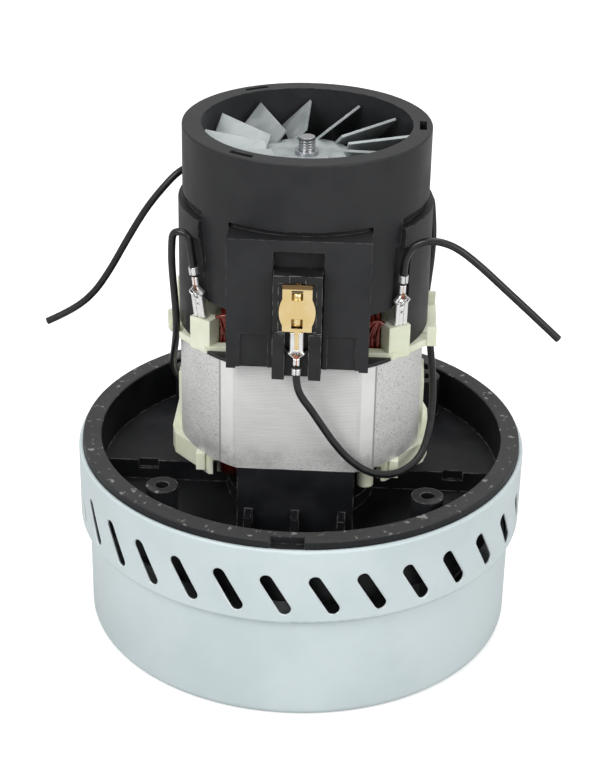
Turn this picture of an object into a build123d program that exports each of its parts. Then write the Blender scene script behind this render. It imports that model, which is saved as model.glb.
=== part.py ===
from build123d import *
import math
import os

os.makedirs("parts", exist_ok=True)

# Two-stage bypass vacuum motor, base on z = 0, shaft axis on Z, front brush towards -Y.

# Turns, counts and clearances that several pieces share
FULL_TURN = 360.0
HALF_TURN = 180.0
QUARTER_TURN = 90.0
CUT_OVERRUN = 1.0
PUSH_GAP = 0.1
LOOSE_GAP = 0.3
RUNNING_GAP = 0.05

# Lower shell: a drawn steel cup with a wider band at its mouth
SHELL_RADIUS = 69.2
SHELL_WALL = 0.8
SHELL_BASE_ROUND = 2.5
BAND_STEP = 2.8
BAND_STEP_ROUND_SHARE = 0.45
BAND_TOP_ROUND = 0.6
INTAKE_RADIUS = 22.0
INTAKE_LIP_HEIGHT = 3.2
LOUVRE_COUNT = 31
LOUVRE_LENGTH = 11.0
LOUVRE_WIDTH = 4.2
LOUVRE_SLANT = 30.5
LOUVRE_START = -92.9
LOUVRE_ABOVE_FRAME = 5.3
STEP_BELOW_LOUVRES = 10.1

# Impellers, each a sheet disc, curved blades and a shroud with an eye
IMPELLER_SHEET = 0.8
IMPELLER_TIP_GAP = 9.4
SHROUD_LIFT = 1.8
FIRST_BLADE_HEIGHT = 10.0
SECOND_BLADE_HEIGHT = 8.5
EYE_GAP = 0.8
BLADE_COUNT = 7
BLADE_EYE_MARGIN = 3.4
BLADE_TIP_MARGIN = 1.0
BLADE_SWEEP = 50.0
BLADE_BOW_SHARE = 0.72

# Return guide and stage plate between the impellers
GUIDE_LIFT = 2.0
GUIDE_SHEET = 1.0
GUIDE_EDGE_GAP = 6.4
GUIDE_HUB_GAP = 4.0
VANE_HEIGHT = 7.0
VANE_COUNT = 12
VANE_THICKNESS = 1.2
VANE_EDGE_MARGIN = 1.5
VANE_SWEEP = 40.0
VANE_BOW_SHARE = 0.8
PLATE_SHEET = 0.8
PLATE_SKIRT_HEIGHT = 5.0
PLATE_LIP_HEIGHT = 4.0

# Motor frame: moulded dish with a thick rim, a bearing tower, two pillars and four bosses
FRAME_LIFT = 3.6
FLOOR_THICKNESS = 2.5
RIM_LIFT = 15.9
RIM_FLANGE_HEIGHT = 3.9
RIM_PROUD = 2.6
RIM_SETBACK = 0.5
RIM_WIDTH = 5.95
RIM_ROUND = 0.5
DISH_WALL = 2.15
PLATFORM_RISE = 7.0
PLATFORM_SKIN = 2.5
PLATFORM_EDGE = -1.5
PLATFORM_RIB = 2.0
PLATFORM_RIB_ANGLES = (30.0, 62.0, 118.0, 150.0)
LATCH_OFFSET = 50.0
LATCH_WIDTH = 6.5
LATCH_DEPTH = 1.2
LATCH_HEIGHT = 3.0
RIM_NOTCH_OFFSET = -0.5
RIM_NOTCH_WIDTH = 10.3
RIM_NOTCH_DEPTH = 3.1
PILLAR_HALF_WIDTH = 18.1
PILLAR_BRIDGE = 2.7
SCREW_BOSS_WALL = 1.2
PILLAR_HEIGHT = 24.7
STUB_WIDTH = 2.3
STUB_REACH = 6.0
STUB_HEIGHT = 10.2
STUB_PITCH = 14.5
TOWER_WALL = 2.6
TOWER_SHOULDER = 1.5
TOWER_BASE_WALL = 9.0
BEARING_LEDGE = 5.5
BOSS_SPACING = 81.32
BOSS_RADIUS = 4.9
BOSS_HOLE_RADIUS = 2.1
BOSS_HOLE_DEPTH = 18.0

# Ball bearings: 6200 below, 608 above
LOWER_BEARING_RADIUS = 15.0
LOWER_BEARING_BORE = 5.0
LOWER_BEARING_WIDTH = 9.0
LOWER_BALL_RADIUS = 2.38
LOWER_BALL_COUNT = 8
UPPER_BEARING_RADIUS = 11.0
UPPER_BEARING_BORE = 4.0
UPPER_BEARING_WIDTH = 7.0
UPPER_BALL_RADIUS = 1.98
UPPER_BALL_COUNT = 7
BEARING_LAND_SHARE = 0.8
BEARING_SEAT_GAP = 0.02

# Bearing retainer and its screws, fitted from below
RETAINER_SHEET = 1.2
RETAINER_SINK = 0.3
RETAINER_MARGIN = 6.5
RETAINER_EDGE_GAP = 0.2
RETAINER_HOLE_RADIUS = 9.0
RETAINER_SCREW_MARGIN = 3.3
RETAINER_SCREW_COUNT = 3
RETAINER_SCREW_RADIUS = 1.2
RETAINER_SCREW_LENGTH = 5.0
RETAINER_SCREW_HEAD_RADIUS = 2.2
RETAINER_SCREW_HEAD_HEIGHT = 1.2

# Stator stack and the armature that turns in it
STACK_HEIGHT = 35.0
STACK_RADIUS = 39.5
STACK_HALF_DEPTH = 35.0
STACK_HALF_WIDTH = 37.5
ARMATURE_RADIUS = 21.8
AIR_GAP = 0.6
POLE_TIP = 2.0
SLOT_MOUTH_HALF = 10.0
ARMATURE_SLOT_COUNT = 22
ARMATURE_SLOT_WIDTH = 2.4
ARMATURE_YOKE = 6.6
ARMATURE_BAR_SINK = 0.8
END_TURN_INSET = 1.3
END_TURN_NECK_INSET = 6.8
END_TURN_SHOULDER = 2.4
END_TURN_TAPER = 3.2
END_TURN_TOP_LENGTH = 9.3
END_TURN_BOTTOM_LENGTH = 9.0

# Field coils: a plain core with one outer layer of enamelled wire
COIL_POLE_INSET = 5.7
COIL_DEPTH = 8.0
COIL_WINDOW_INSET = 5.9
COIL_BUILD = 7.0
COIL_WINDOW_ROUND = 0.9
COIL_CORNER_ROUND = 6.2
SLOT_GAP = 0.4
WIRE_RADIUS = 0.425
WIRE_PITCH = 1.27
WIRE_LOOPS = 6
WIRE_SEAT_GAP = 0.05
GAP_SAMPLES = 900

# Moulded end frames of the stator
FLANGE_SHEET = 2.2
FLANGE_SIDE_PROUD = 4.3
FLANGE_FRONT_MARGIN = 3.8
FLANGE_FRONT_INSET = 8.9
FLANGE_SHOULDER_PROUD = 3.0
FLANGE_SHOULDER_Y = 14.0
FLANGE_SIDE_HALF = 9.0
FLANGE_BORE_GAP = 0.6
SADDLE_HEIGHT = 4.1
BOBBIN_WALL = 1.3
BOBBIN_WALL_GAP = 0.2
BOBBIN_WALL_HALF = 14.0
BOBBIN_WALL_HEIGHT = 11.6
LOWER_FRAME_INSET = 1.0
SKIRT_WALL = 1.4
SKIRT_DEPTH = 5.0
SIDE_CLIP_THICKNESS = 1.3
SIDE_CLIP_HALF = 8.0
SIDE_CLIP_HEIGHT = 19.3
SIDE_CLIP_CHAMFER = 0.9
SIDE_CLIP_NOTCH_HEIGHT = 2.6
SIDE_CLIP_NOTCH_LIFT = 1.3
SIDE_CLIP_NOTCH_HALF = 3.0
FOOT_PEG_X = 30.2
FOOT_PEG_MARGIN = 2.1
FOOT_PEG_WIDTH = 2.8
FOOT_PEG_DEPTH = 3.8
FOOT_ROUND_X = 21.4
FOOT_ROUND_PROUD = 0.1
FOOT_ROUND_RADIUS = 2.6
FOOT_ROUND_DEPTH = 6.0
POST_OUT = 4.3
POST_BACK = 0.3
POST_WIDTH = 7.2
POST_DEPTH = 5.0
POST_HEIGHT = 8.3
POST_TURN = 30.0
TAB_PROUD = 2.6
FRONT_TAB_Y = 15.8
SIDE_TAB_Y = 10.6
TAB_WIDTH = 3.0
TAB_THICKNESS = 1.2
TAB_HEIGHT = 4.1
LEAD_NOTCH_PROUD = 1.0
LEAD_NOTCH_Y = 15.2
LEAD_NOTCH_RADIUS = 2.4
FLANGE_SLIT_PROUD = 0.5
FLANGE_SLIT_Y = 11.6
FLANGE_SLIT_LENGTH = 2.4
FLANGE_SLIT_WIDTH = 0.9

# Long screws that clamp frame, stack and cowl together
SCREW_X = 14.0
SCREW_RADIUS = 1.95
SCREW_HOLE_RADIUS = 2.1
SCREW_PILOT_RADIUS = 2.0
SCREW_HEAD_RADIUS = 3.4
SCREW_HEAD_HEIGHT = 3.2
SCREW_HEAD_GAP = 0.3
SCREW_SINK = 4.0
SCREW_GRIP = 11.0
SCREW_TIP_GAP = 1.5

# Upper bracket: moulded cowl with drum, side panels, brush blocks and bearing hub
COWL_HEIGHT = 65.3
DRUM_RADIUS = 37.7
DRUM_BORE = 31.9
DRUM_HEIGHT = 20.6
DRUM_EDGE_ROUND = 0.5
NECK_RADIUS = 36.2
NECK_HEIGHT = 3.0
PANEL_RADIUS = 39.0
PANEL_SKIRT_WALL = 1.8
PANEL_HALF_ANGLE = 38.0
WALL_RADIUS = 36.5
WALL_THICKNESS = 2.1
WALL_TAPER_HEIGHT = 15.4
WINDOW_HEIGHT = 13.6
BLOCK_HALF_WIDTH = 21.1
BLOCK_FACE = 39.7
BLOCK_WALL = 2.2
BLOCK_SHORTFALL = 1.7
BLOCK_FOOT_WIDTH = 2.8
BLOCK_FOOT_DROP = 0.6
RECESS_HALF_WIDTH = 7.5
RECESS_SHORTFALL = 5.2
RECESS_SIDE_WALL = 2.0
LOW_PANEL_WIDTH = 8.3
LOW_PANEL_GAP = 1.3
LOW_PANEL_HEIGHT = 10.8
LOW_PANEL_DEPTH = 0.8
FOOT_SHEET = 1.0
FOOT_HALF_WIDTH = 28.0
FOOT_INSET = 0.3
COWL_BOSS_RADIUS = 3.2
HUB_WALL = 3.5
HUB_CAP = 1.5
HUB_HOLE_RADIUS = 7.0
HUB_SKIRT = 1.0
ARM_WIDTH = 5.0
ARM_HEIGHT = 5.0
ARM_COUNT = 4
ARM_TURN = 45.0
ARM_WALL_BITE = 1.0
RIM_SLOT_LENGTH = 8.0
RIM_SLOT_WIDTH = 2.2
RIM_SLOT_DEPTH = 4.0
RIM_SLOT_AZIMUTHS = (0.0, 120.0, 240.0)
CHANNEL_RADIUS = 2.9
CHANNEL_HEIGHT = 25.0

# Brush gear: holder, brass tube, carbon brush, spring, cap
BRUSH_LIFT = 22.3
BRUSH_HALF_WIDTH = 3.2
BRUSH_HALF_HEIGHT = 5.4
BRUSH_LENGTH = 24.0
BRUSH_GAP = 0.1
TUBE_WALL = 0.6
TUBE_STANDOFF = 2.0
TUBE_SEAT_GAP = 0.05
HOLDER_HALF_WIDTH = 7.2
HOLDER_FACE = 43.5
HOLDER_STEP = 1.0
HOLDER_BOTTOM_DROP = 21.5
HOLDER_TOP_RISE = 11.3
HOLDER_STEP_DROP = 6.8
SLEEVE_WALL = 1.5
SLEEVE_REACH = 6.5
HOLDER_SLOT_HALF = 3.5
HOLDER_SLOT_DEPTH = 4.0
HOLDER_NOTCH_HALF = 2.3
CAP_HALF_WIDTH = 4.35
CAP_BULGE = 1.0
CAP_BULGE_HALF = 4.2
CAP_TOP_RISE = 8.8
CAP_BOTTOM_DROP = 6.2
CAP_SHEET = 0.5
CAP_PROUD = 0.4
CAP_FOLD = 1.6
CAP_SEAT_GAP = 0.2
CAP_WINDOW_WIDTH = 3.3
CAP_WINDOW_HEIGHT = 3.0
CAP_UPPER_WINDOW_RISE = 5.4
CAP_LOWER_WINDOW_DROP = 3.6
CAP_TONGUE_HALF = 1.55
CAP_TONGUE_LENGTH = 6.0
SPRING_RADIUS = 2.2
SPRING_WIRE_RADIUS = 0.25
SPRING_TURNS = 6
SPRING_SEAT_GAP = 0.1

# Push-on receptacles on the posts and on the brush caps
BLADE_HALF_WIDTH = 1.8
BLADE_SHEET = 0.8
BLADE_RISE = 6.0
BLADE_SINK = 4.6
BLADE_GAP = 0.1
POCKET_GAP = 0.15
RECEPTACLE_OUT = 1.2
RECEPTACLE_FORWARD = 0.7
SUPPLY_LEAN = 1.0
BRUSH_LEAD_LEAN = 7.0
RECEPTACLE_WIDTH = 4.4
RECEPTACLE_DEPTH = 1.7
RECEPTACLE_BODY = 7.5
RECEPTACLE_EARS = 2.5
RECEPTACLE_SEAM = 0.7
CRIMP_RADIUS = 1.5
CRIMP_LENGTH = 3.2
CRIMP_SPACE = 0.6
GRIP_WALL = 0.38
GRIP_LENGTH = 2.5
GRIP_SEAM = 0.5
BRUSH_BODY_SHARE = 0.84
DIMPLE_RADIUS = 0.5

# Leads: insulated flexible wire, each route a list of points from end to end
LEAD_RADIUS = 1.15
LEAD_RUN_SHARE = 0.45
LEAD_EXIT_RUN = 4.5
SUPPLY_RIGHT_ROUTE = (
    (31.0, -24.5, 136.0), (33.6, -24.7, 139.8), (38.6, -24.8, 141.4), (45.4, -24.8, 139.6),
    (52.8, -24.6, 133.8), (60.4, -24.4, 126.7), (69.1, -24.2, 118.7), (77.9, -24.0, 110.4),
)
SUPPLY_LEFT_ROUTE = (
    (-30.6, 25.8, 138.2), (-33.1, 26.4, 141.9), (-37.5, 24.8, 143.6), (-41.8, 22.2, 142.2),
    (-47.3, 20.6, 136.2), (-52.4, 20.0, 129.4), (-58.1, 20.0, 119.5), (-64.3, 20.0, 107.9),
    (-70.1, 20.0, 99.2), (-77.5, 20.0, 93.0), (-85.5, 20.0, 88.9),
)
BRUSH_FRONT_ROUTE = (
    (1.0, -43.2, 98.2), (4.6, -41.8, 92.4), (8.2, -40.6, 86.0), (12.2, -39.9, 79.6),
    (17.0, -39.0, 73.6), (23.6, -37.2, 68.4), (31.6, -31.5, 65.6), (38.2, -23.5, 66.8),
    (40.9, -16.0, 71.6), (42.0, -8.0, 78.5), (41.6, 0.0, 85.6), (40.6, 7.0, 92.0),
    (39.4, 12.9, 98.4), (38.6, 15.2, 104.4), (39.2, 17.0, 110.6), (39.9, 18.4, 117.6),
    (40.1, 19.8, 124.6), (39.6, 21.4, 131.2), (38.8, 22.6, 137.4), (33.9, 23.9, 137.2),
)
BRUSH_BACK_ROUTE = (
    (-1.0, 43.2, 98.2), (-4.6, 41.8, 92.4), (-8.2, 40.6, 86.0), (-12.2, 39.9, 79.6),
    (-17.0, 39.0, 73.6), (-23.6, 37.2, 68.4), (-31.6, 31.5, 65.6), (-38.2, 23.5, 66.8),
    (-40.9, 16.0, 71.6), (-42.0, 8.0, 78.5), (-41.6, 0.0, 85.6), (-40.5, -6.9, 92.0),
    (-39.3, -12.6, 98.4), (-38.5, -15.2, 105.0), (-38.5, -16.6, 112.2), (-38.9, -17.8, 120.0),
    (-39.2, -19.4, 128.0), (-39.0, -21.0, 134.6), (-38.4, -22.2, 140.4), (-33.6, -23.9, 140.2),
    (-32.9, -23.9, 135.0),
)

# Shaft, commutator, cooling fan and the clamping pieces on the shaft
SHAFT_CORE_RADIUS = 6.0
SHAFT_TIP_CLEARANCE = 4.7
SHAFT_SEAT_GAP = 0.02
THREAD_RADIUS = 2.5
THREAD_LENGTH = 6.1
IMPELLER_NUT_FLATS = 13.0
IMPELLER_NUT_HEIGHT = 5.0
WASHER_RADIUS = 10.0
WASHER_SHEET = 1.5
SPACER_RADIUS = 6.8
COMMUTATOR_RADIUS = 11.0
COMMUTATOR_HUB_RADIUS = 8.4
COMMUTATOR_COUNT = 22
COMMUTATOR_GAP = 0.5
COMMUTATOR_DROP = 9.0
COMMUTATOR_RISE = 9.0
RISER_RADIUS = 13.0
RISER_HEIGHT = 2.0
FAN_SHEET = 0.8
FAN_LIFT = 9.8
FAN_DISC_RADIUS = 13.6
FAN_RELIEF_RADIUS = 1.0
FAN_RELIEF_TURN = 19.0
FAN_TIP_GAP = 1.4
FAN_BLADE_COUNT = 12
FAN_BLADE_TILT = 43.0
FAN_BLADE_START = 9.0
FAN_BLADE_ROOT = 12.4
FAN_BLADE_LIFT = 2.9
FAN_ROOT_UP = 1.6
FAN_TIP_UP = 6.2
FAN_ROOT_DOWN = 5.0
FAN_TIP_DOWN = 6.0
FAN_SPACER_RADIUS = 6.0
FAN_NUT_RADIUS = 3.6
FAN_NUT_HEIGHT = 1.2

# Radii that follow from the sizes above
shell_inner = SHELL_RADIUS - SHELL_WALL
band_radius = SHELL_RADIUS + BAND_STEP
band_inner = band_radius - SHELL_WALL
intake_lip_radius = INTAKE_RADIUS + SHELL_WALL
eye_radius = intake_lip_radius + EYE_GAP
impeller_radius = shell_inner - IMPELLER_TIP_GAP
blade_inner = eye_radius + BLADE_EYE_MARGIN
blade_outer = impeller_radius - BLADE_TIP_MARGIN
guide_radius = shell_inner - GUIDE_EDGE_GAP
rim_flange_radius = band_inner - PUSH_GAP
rim_radius = rim_flange_radius - RIM_SETBACK
dish_inner = rim_radius - RIM_WIDTH
dish_outer = dish_inner + DISH_WALL
tower_radius = LOWER_BEARING_RADIUS + TOWER_WALL
tower_base_radius = LOWER_BEARING_RADIUS + TOWER_BASE_WALL
stator_bore = ARMATURE_RADIUS + AIR_GAP
frame_bore = stator_bore + FLANGE_BORE_GAP
armature_slot_floor = SHAFT_CORE_RADIUS + ARMATURE_YOKE
end_turn_neck = ARMATURE_RADIUS - END_TURN_NECK_INSET
coil_inner_x = stator_bore - COIL_POLE_INSET
coil_outer_x = coil_inner_x + COIL_DEPTH
coil_window_half = stator_bore - COIL_WINDOW_INSET
coil_half = coil_window_half + COIL_BUILD
slot_outer = coil_half + SLOT_GAP
screw_y = (slot_outer + STACK_HALF_DEPTH) / 2
screw_boss_radius = SCREW_HOLE_RADIUS + SCREW_BOSS_WALL
pillar_inner = frame_bore + PILLAR_BRIDGE + LOOSE_GAP
flange_half_width = STACK_HALF_WIDTH + FLANGE_SIDE_PROUD
flange_shoulder_x = STACK_HALF_WIDTH + FLANGE_SHOULDER_PROUD
flange_front_half = STACK_HALF_WIDTH - FLANGE_FRONT_INSET
flange_half_depth = coil_half + FLANGE_FRONT_MARGIN
post_x = coil_outer_x + POST_OUT
post_y = coil_half - POST_BACK
wire_layer = 2 * WIRE_RADIUS + WIRE_SEAT_GAP
wall_inner = WALL_RADIUS - WALL_THICKNESS
fan_tip_radius = DRUM_BORE - FAN_TIP_GAP
boss_offset = BOSS_SPACING / 2

# Heights that stack up from the base
first_shroud_z = SHELL_WALL + SHROUD_LIFT
first_blade_z = first_shroud_z + IMPELLER_SHEET
first_disc_z = first_blade_z + FIRST_BLADE_HEIGHT
first_disc_top = first_disc_z + IMPELLER_SHEET
guide_z = first_disc_top + GUIDE_LIFT
vane_z = guide_z + GUIDE_SHEET
plate_z = vane_z + VANE_HEIGHT
plate_top = plate_z + PLATE_SHEET
second_shroud_z = plate_top + SHROUD_LIFT
second_blade_z = second_shroud_z + IMPELLER_SHEET
second_disc_z = second_blade_z + SECOND_BLADE_HEIGHT
second_disc_top = second_disc_z + IMPELLER_SHEET
frame_z = second_disc_top + FRAME_LIFT
floor_z = frame_z + FLOOR_THICKNESS
louvre_z = frame_z + LOUVRE_ABOVE_FRAME
step_z = louvre_z - STEP_BELOW_LOUVRES
rim_under = frame_z + RIM_LIFT
rim_flange_top = rim_under + RIM_FLANGE_HEIGHT
band_top = rim_flange_top + PUSH_GAP + SHELL_WALL
rim_top = band_top + RIM_PROUD
platform_z = floor_z + PLATFORM_RISE
platform_under = platform_z - PLATFORM_SKIN
retainer_z = frame_z + RETAINER_SINK
lower_bearing_z = retainer_z + RETAINER_SHEET
lower_bearing_top = lower_bearing_z + LOWER_BEARING_WIDTH
tower_top = lower_bearing_top + TOWER_SHOULDER
stack_z = floor_z + PILLAR_HEIGHT
stack_top = stack_z + STACK_HEIGHT
flange_top = stack_top + FLANGE_SHEET
lower_flange_z = stack_z - FLANGE_SHEET
window_top = flange_top + SADDLE_HEIGHT
window_bottom = lower_flange_z - SADDLE_HEIGHT
coil_top = window_top + COIL_BUILD
coil_bottom = window_bottom - COIL_BUILD
post_top = flange_top + POST_HEIGHT
cowl_top = stack_top + COWL_HEIGHT
drum_z = cowl_top - DRUM_HEIGHT
neck_z = drum_z - NECK_HEIGHT
block_top = drum_z - BLOCK_SHORTFALL
wall_z = flange_top + WINDOW_HEIGHT
upper_bearing_top = drum_z
upper_bearing_z = upper_bearing_top - UPPER_BEARING_WIDTH
brush_z = stack_top + BRUSH_LIFT
fan_z = upper_bearing_top + FAN_LIFT
commutator_z = brush_z - COMMUTATOR_DROP
commutator_top = brush_z + COMMUTATOR_RISE


def cylinder(radius, bottom, top, x=0, y=0):
    """Upright cylinder between two heights."""
    along = (Align.CENTER, Align.CENTER, Align.MIN)
    return Pos(x, y, bottom) * Cylinder(radius, top - bottom, align=along)


def ring(outer, inner, bottom, top, x=0, y=0):
    """Upright tube between two heights."""
    hole = cylinder(inner, bottom - CUT_OVERRUN, top + CUT_OVERRUN, x, y)
    return cylinder(outer, bottom, top, x, y) - hole


def block(x0, x1, y0, y1, z0, z1):
    """Box between two opposite corners."""
    middle = Pos((x0 + x1) / 2, (y0 + y1) / 2, (z0 + z1) / 2)
    return middle * Box(abs(x1 - x0), abs(y1 - y0), abs(z1 - z0))


def prism(points, bottom, top):
    """Upright prism on a closed outline of points."""
    return Pos(0, 0, bottom) * extrude(make_face(Polyline(*points, close=True)), top - bottom)


def turned_profile(corners):
    """Body turned about the shaft axis from rows of radius, height and corner round."""
    points = [(radius, height) for radius, height, _ in corners]
    rounds = [corner_round for _, _, corner_round in corners]
    outline = FilletPolyline(*points, radius=rounds, close=True)
    return revolve(Plane.XZ * make_face(outline), Axis.Z)


def wedge(half_angle, reach, bottom, top):
    """Upright wedge with its edge on the shaft axis, opening towards +X."""
    across = reach * math.sin(math.radians(half_angle))
    along = reach * math.cos(math.radians(half_angle))
    return prism([(0, 0), (along, -across), (along, across)], bottom, top)


def half_turned(shape):
    """The same shape turned by half a turn about the shaft axis."""
    return Rot(0, 0, HALF_TURN) * shape


def all_round(shape, count):
    """Copies of a shape at equal steps about the shaft axis."""
    return [Rot(0, 0, FULL_TURN * number / count) * shape for number in range(count)]


def polar(radius, azimuth):
    """Point of the XY plane at a radius and an azimuth in degrees."""
    turn = math.radians(azimuth)
    return (radius * math.cos(turn), radius * math.sin(turn))


def corner_places(x, y):
    """The four places that mirror one another across both vertical planes."""
    return [(x, y), (-x, y), (-x, -y), (x, -y)]


def hex_nut(flats, bore, bottom, height):
    """Six-sided nut on the shaft axis with its bore."""
    body = extrude(RegularPolygon(flats / 2, 6, major_radius=False), height)
    return Pos(0, 0, bottom) * body - cylinder(bore, bottom - CUT_OVERRUN, bottom + height + CUT_OVERRUN)


def standing_blades(count, inner, outer, sweep, bow, thickness, bottom, top):
    """Curved sheet blades on end, each an arc from the inner to the outer radius."""
    arc = RadiusArc(polar(inner, 0), polar(outer, -sweep), bow)
    blade = Pos(0, 0, bottom) * extrude(trace(arc, line_width=thickness), top - bottom)
    return Compound(children=[Part() + copy for copy in all_round(blade, count)])


# Shell, stage plate and return guide

def fan_case():
    """Drawn cup with its intake lip, stepped band, rolled top edge and slanted louvres."""
    step_round = BAND_STEP * BAND_STEP_ROUND_SHARE
    lip_radius = rim_radius + PUSH_GAP
    intake_lip_top = SHELL_WALL + INTAKE_LIP_HEIGHT
    case = turned_profile([
        (INTAKE_RADIUS, 0, 0),
        (SHELL_RADIUS, 0, SHELL_BASE_ROUND),
        (SHELL_RADIUS, step_z, step_round),
        (band_radius, step_z, step_round),
        (band_radius, band_top, BAND_TOP_ROUND),
        (lip_radius, band_top, 0),
        (lip_radius, band_top - SHELL_WALL, 0),
        (band_inner, band_top - SHELL_WALL, 0),
        (band_inner, step_z + SHELL_WALL, step_round - SHELL_WALL),
        (shell_inner, step_z + SHELL_WALL, step_round + SHELL_WALL),
        (shell_inner, SHELL_WALL, SHELL_BASE_ROUND - SHELL_WALL),
        (intake_lip_radius, SHELL_WALL, 0),
        (intake_lip_radius, intake_lip_top, 0),
        (INTAKE_RADIUS, intake_lip_top, 0),
    ])
    face = Plane(origin=(band_inner - CUT_OVERRUN, 0, louvre_z), x_dir=(0, 1, 0), z_dir=(1, 0, 0))
    slot = Rot(0, 0, QUARTER_TURN + LOUVRE_SLANT) * SlotCenterToCenter(LOUVRE_LENGTH, LOUVRE_WIDTH)
    cutter = Rot(0, 0, LOUVRE_START) * extrude(face * slot, SHELL_WALL + 2 * CUT_OVERRUN)
    return case - all_round(cutter, LOUVRE_COUNT)


def stage_plate():
    """Sheet disc across the shell, with a lip at its eye and a skirt at its edge."""
    edge = shell_inner - PUSH_GAP
    return turned_profile([
        (INTAKE_RADIUS, plate_z, 0),
        (edge, plate_z, 0),
        (edge, plate_z + PLATE_SKIRT_HEIGHT, 0),
        (edge - PLATE_SHEET, plate_z + PLATE_SKIRT_HEIGHT, 0),
        (edge - PLATE_SHEET, plate_top, 0),
        (intake_lip_radius, plate_top, 0),
        (intake_lip_radius, plate_z + PLATE_LIP_HEIGHT, 0),
        (INTAKE_RADIUS, plate_z + PLATE_LIP_HEIGHT, 0),
    ])


def return_guide():
    """Disc with curved vanes that lead the air back to the middle."""
    hub_hole = WASHER_RADIUS + GUIDE_HUB_GAP
    disc = ring(guide_radius, hub_hole, guide_z, vane_z)
    vane_outer = guide_radius - VANE_EDGE_MARGIN
    vane_inner = intake_lip_radius + VANE_EDGE_MARGIN
    bow = vane_outer * VANE_BOW_SHARE
    vanes = standing_blades(
        VANE_COUNT, vane_inner, vane_outer, VANE_SWEEP, bow, VANE_THICKNESS, vane_z, plate_z
    )
    return disc + vanes.solids()


def impeller_blades(bottom, height):
    """One set of curved blades between disc and shroud."""
    bow = blade_outer * BLADE_BOW_SHARE
    return standing_blades(
        BLADE_COUNT, blade_inner, blade_outer, BLADE_SWEEP, bow, IMPELLER_SHEET, bottom, bottom + height
    )


# Motor frame and the lower bearing

def frame_dish():
    """Turned body of the frame: floor, wall, thick rim, tower and bearing seat."""
    recess = LOWER_BEARING_RADIUS + RETAINER_MARGIN + RETAINER_EDGE_GAP
    seat = LOWER_BEARING_RADIUS + BEARING_SEAT_GAP
    ledge = LOWER_BEARING_RADIUS - BEARING_LEDGE
    return turned_profile([
        (recess, frame_z, 0),
        (dish_outer, frame_z, 0),
        (dish_outer, rim_under, 0),
        (rim_flange_radius, rim_under, 0),
        (rim_flange_radius, rim_flange_top, 0),
        (rim_radius, rim_flange_top, 0),
        (rim_radius, rim_top, RIM_ROUND),
        (dish_inner, rim_top, RIM_ROUND),
        (dish_inner, floor_z, RIM_ROUND),
        (tower_base_radius, floor_z, 0),
        (tower_base_radius, platform_under, 0),
        (tower_radius, platform_under, 0),
        (tower_radius, tower_top, 0),
        (ledge, tower_top, 0),
        (ledge, lower_bearing_top, 0),
        (seat, lower_bearing_top, 0),
        (seat, lower_bearing_z, 0),
        (recess, lower_bearing_z, 0),
    ])


def platform():
    """Raised rear half of the floor, a solid half disc before it is cored."""
    half = block(-dish_outer, dish_outer, PLATFORM_EDGE, dish_outer, frame_z, platform_z)
    return cylinder(dish_inner + DISH_WALL / 2, frame_z, platform_z) & half


def platform_core():
    """Space under the raised half, clear of the tower's base."""
    edge = PLATFORM_EDGE + PLATFORM_SKIN
    bottom = frame_z - CUT_OVERRUN
    half = block(-dish_outer, dish_outer, edge, dish_outer, bottom, platform_under)
    space = cylinder(dish_inner, bottom, platform_under) & half
    return space - cylinder(tower_base_radius, bottom - CUT_OVERRUN, platform_under + CUT_OVERRUN)


def platform_rib(azimuth):
    """Radial rib under the raised half."""
    inner = tower_radius
    outer = dish_inner + DISH_WALL / 2
    rib = block(inner, outer, -PLATFORM_RIB / 2, PLATFORM_RIB / 2, frame_z, platform_z - PLATFORM_SKIN / 2)
    return Rot(0, 0, azimuth) * rib


def pillar():
    """Front pillar that carries the stack, with its three stubs."""
    body = block(
        -PILLAR_HALF_WIDTH, PILLAR_HALF_WIDTH, -STACK_HALF_DEPTH, -pillar_inner, frame_z, stack_z
    )
    for offset in (-STUB_PITCH, 0, STUB_PITCH):
        body += block(
            offset - STUB_WIDTH / 2, offset + STUB_WIDTH / 2,
            -STACK_HALF_DEPTH - STUB_REACH, -STACK_HALF_DEPTH, frame_z, floor_z + STUB_HEIGHT,
        )
    for side in (-1, 1):
        body += cylinder(screw_boss_radius, frame_z, stack_z, side * SCREW_X, -screw_y)
    return body


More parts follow.
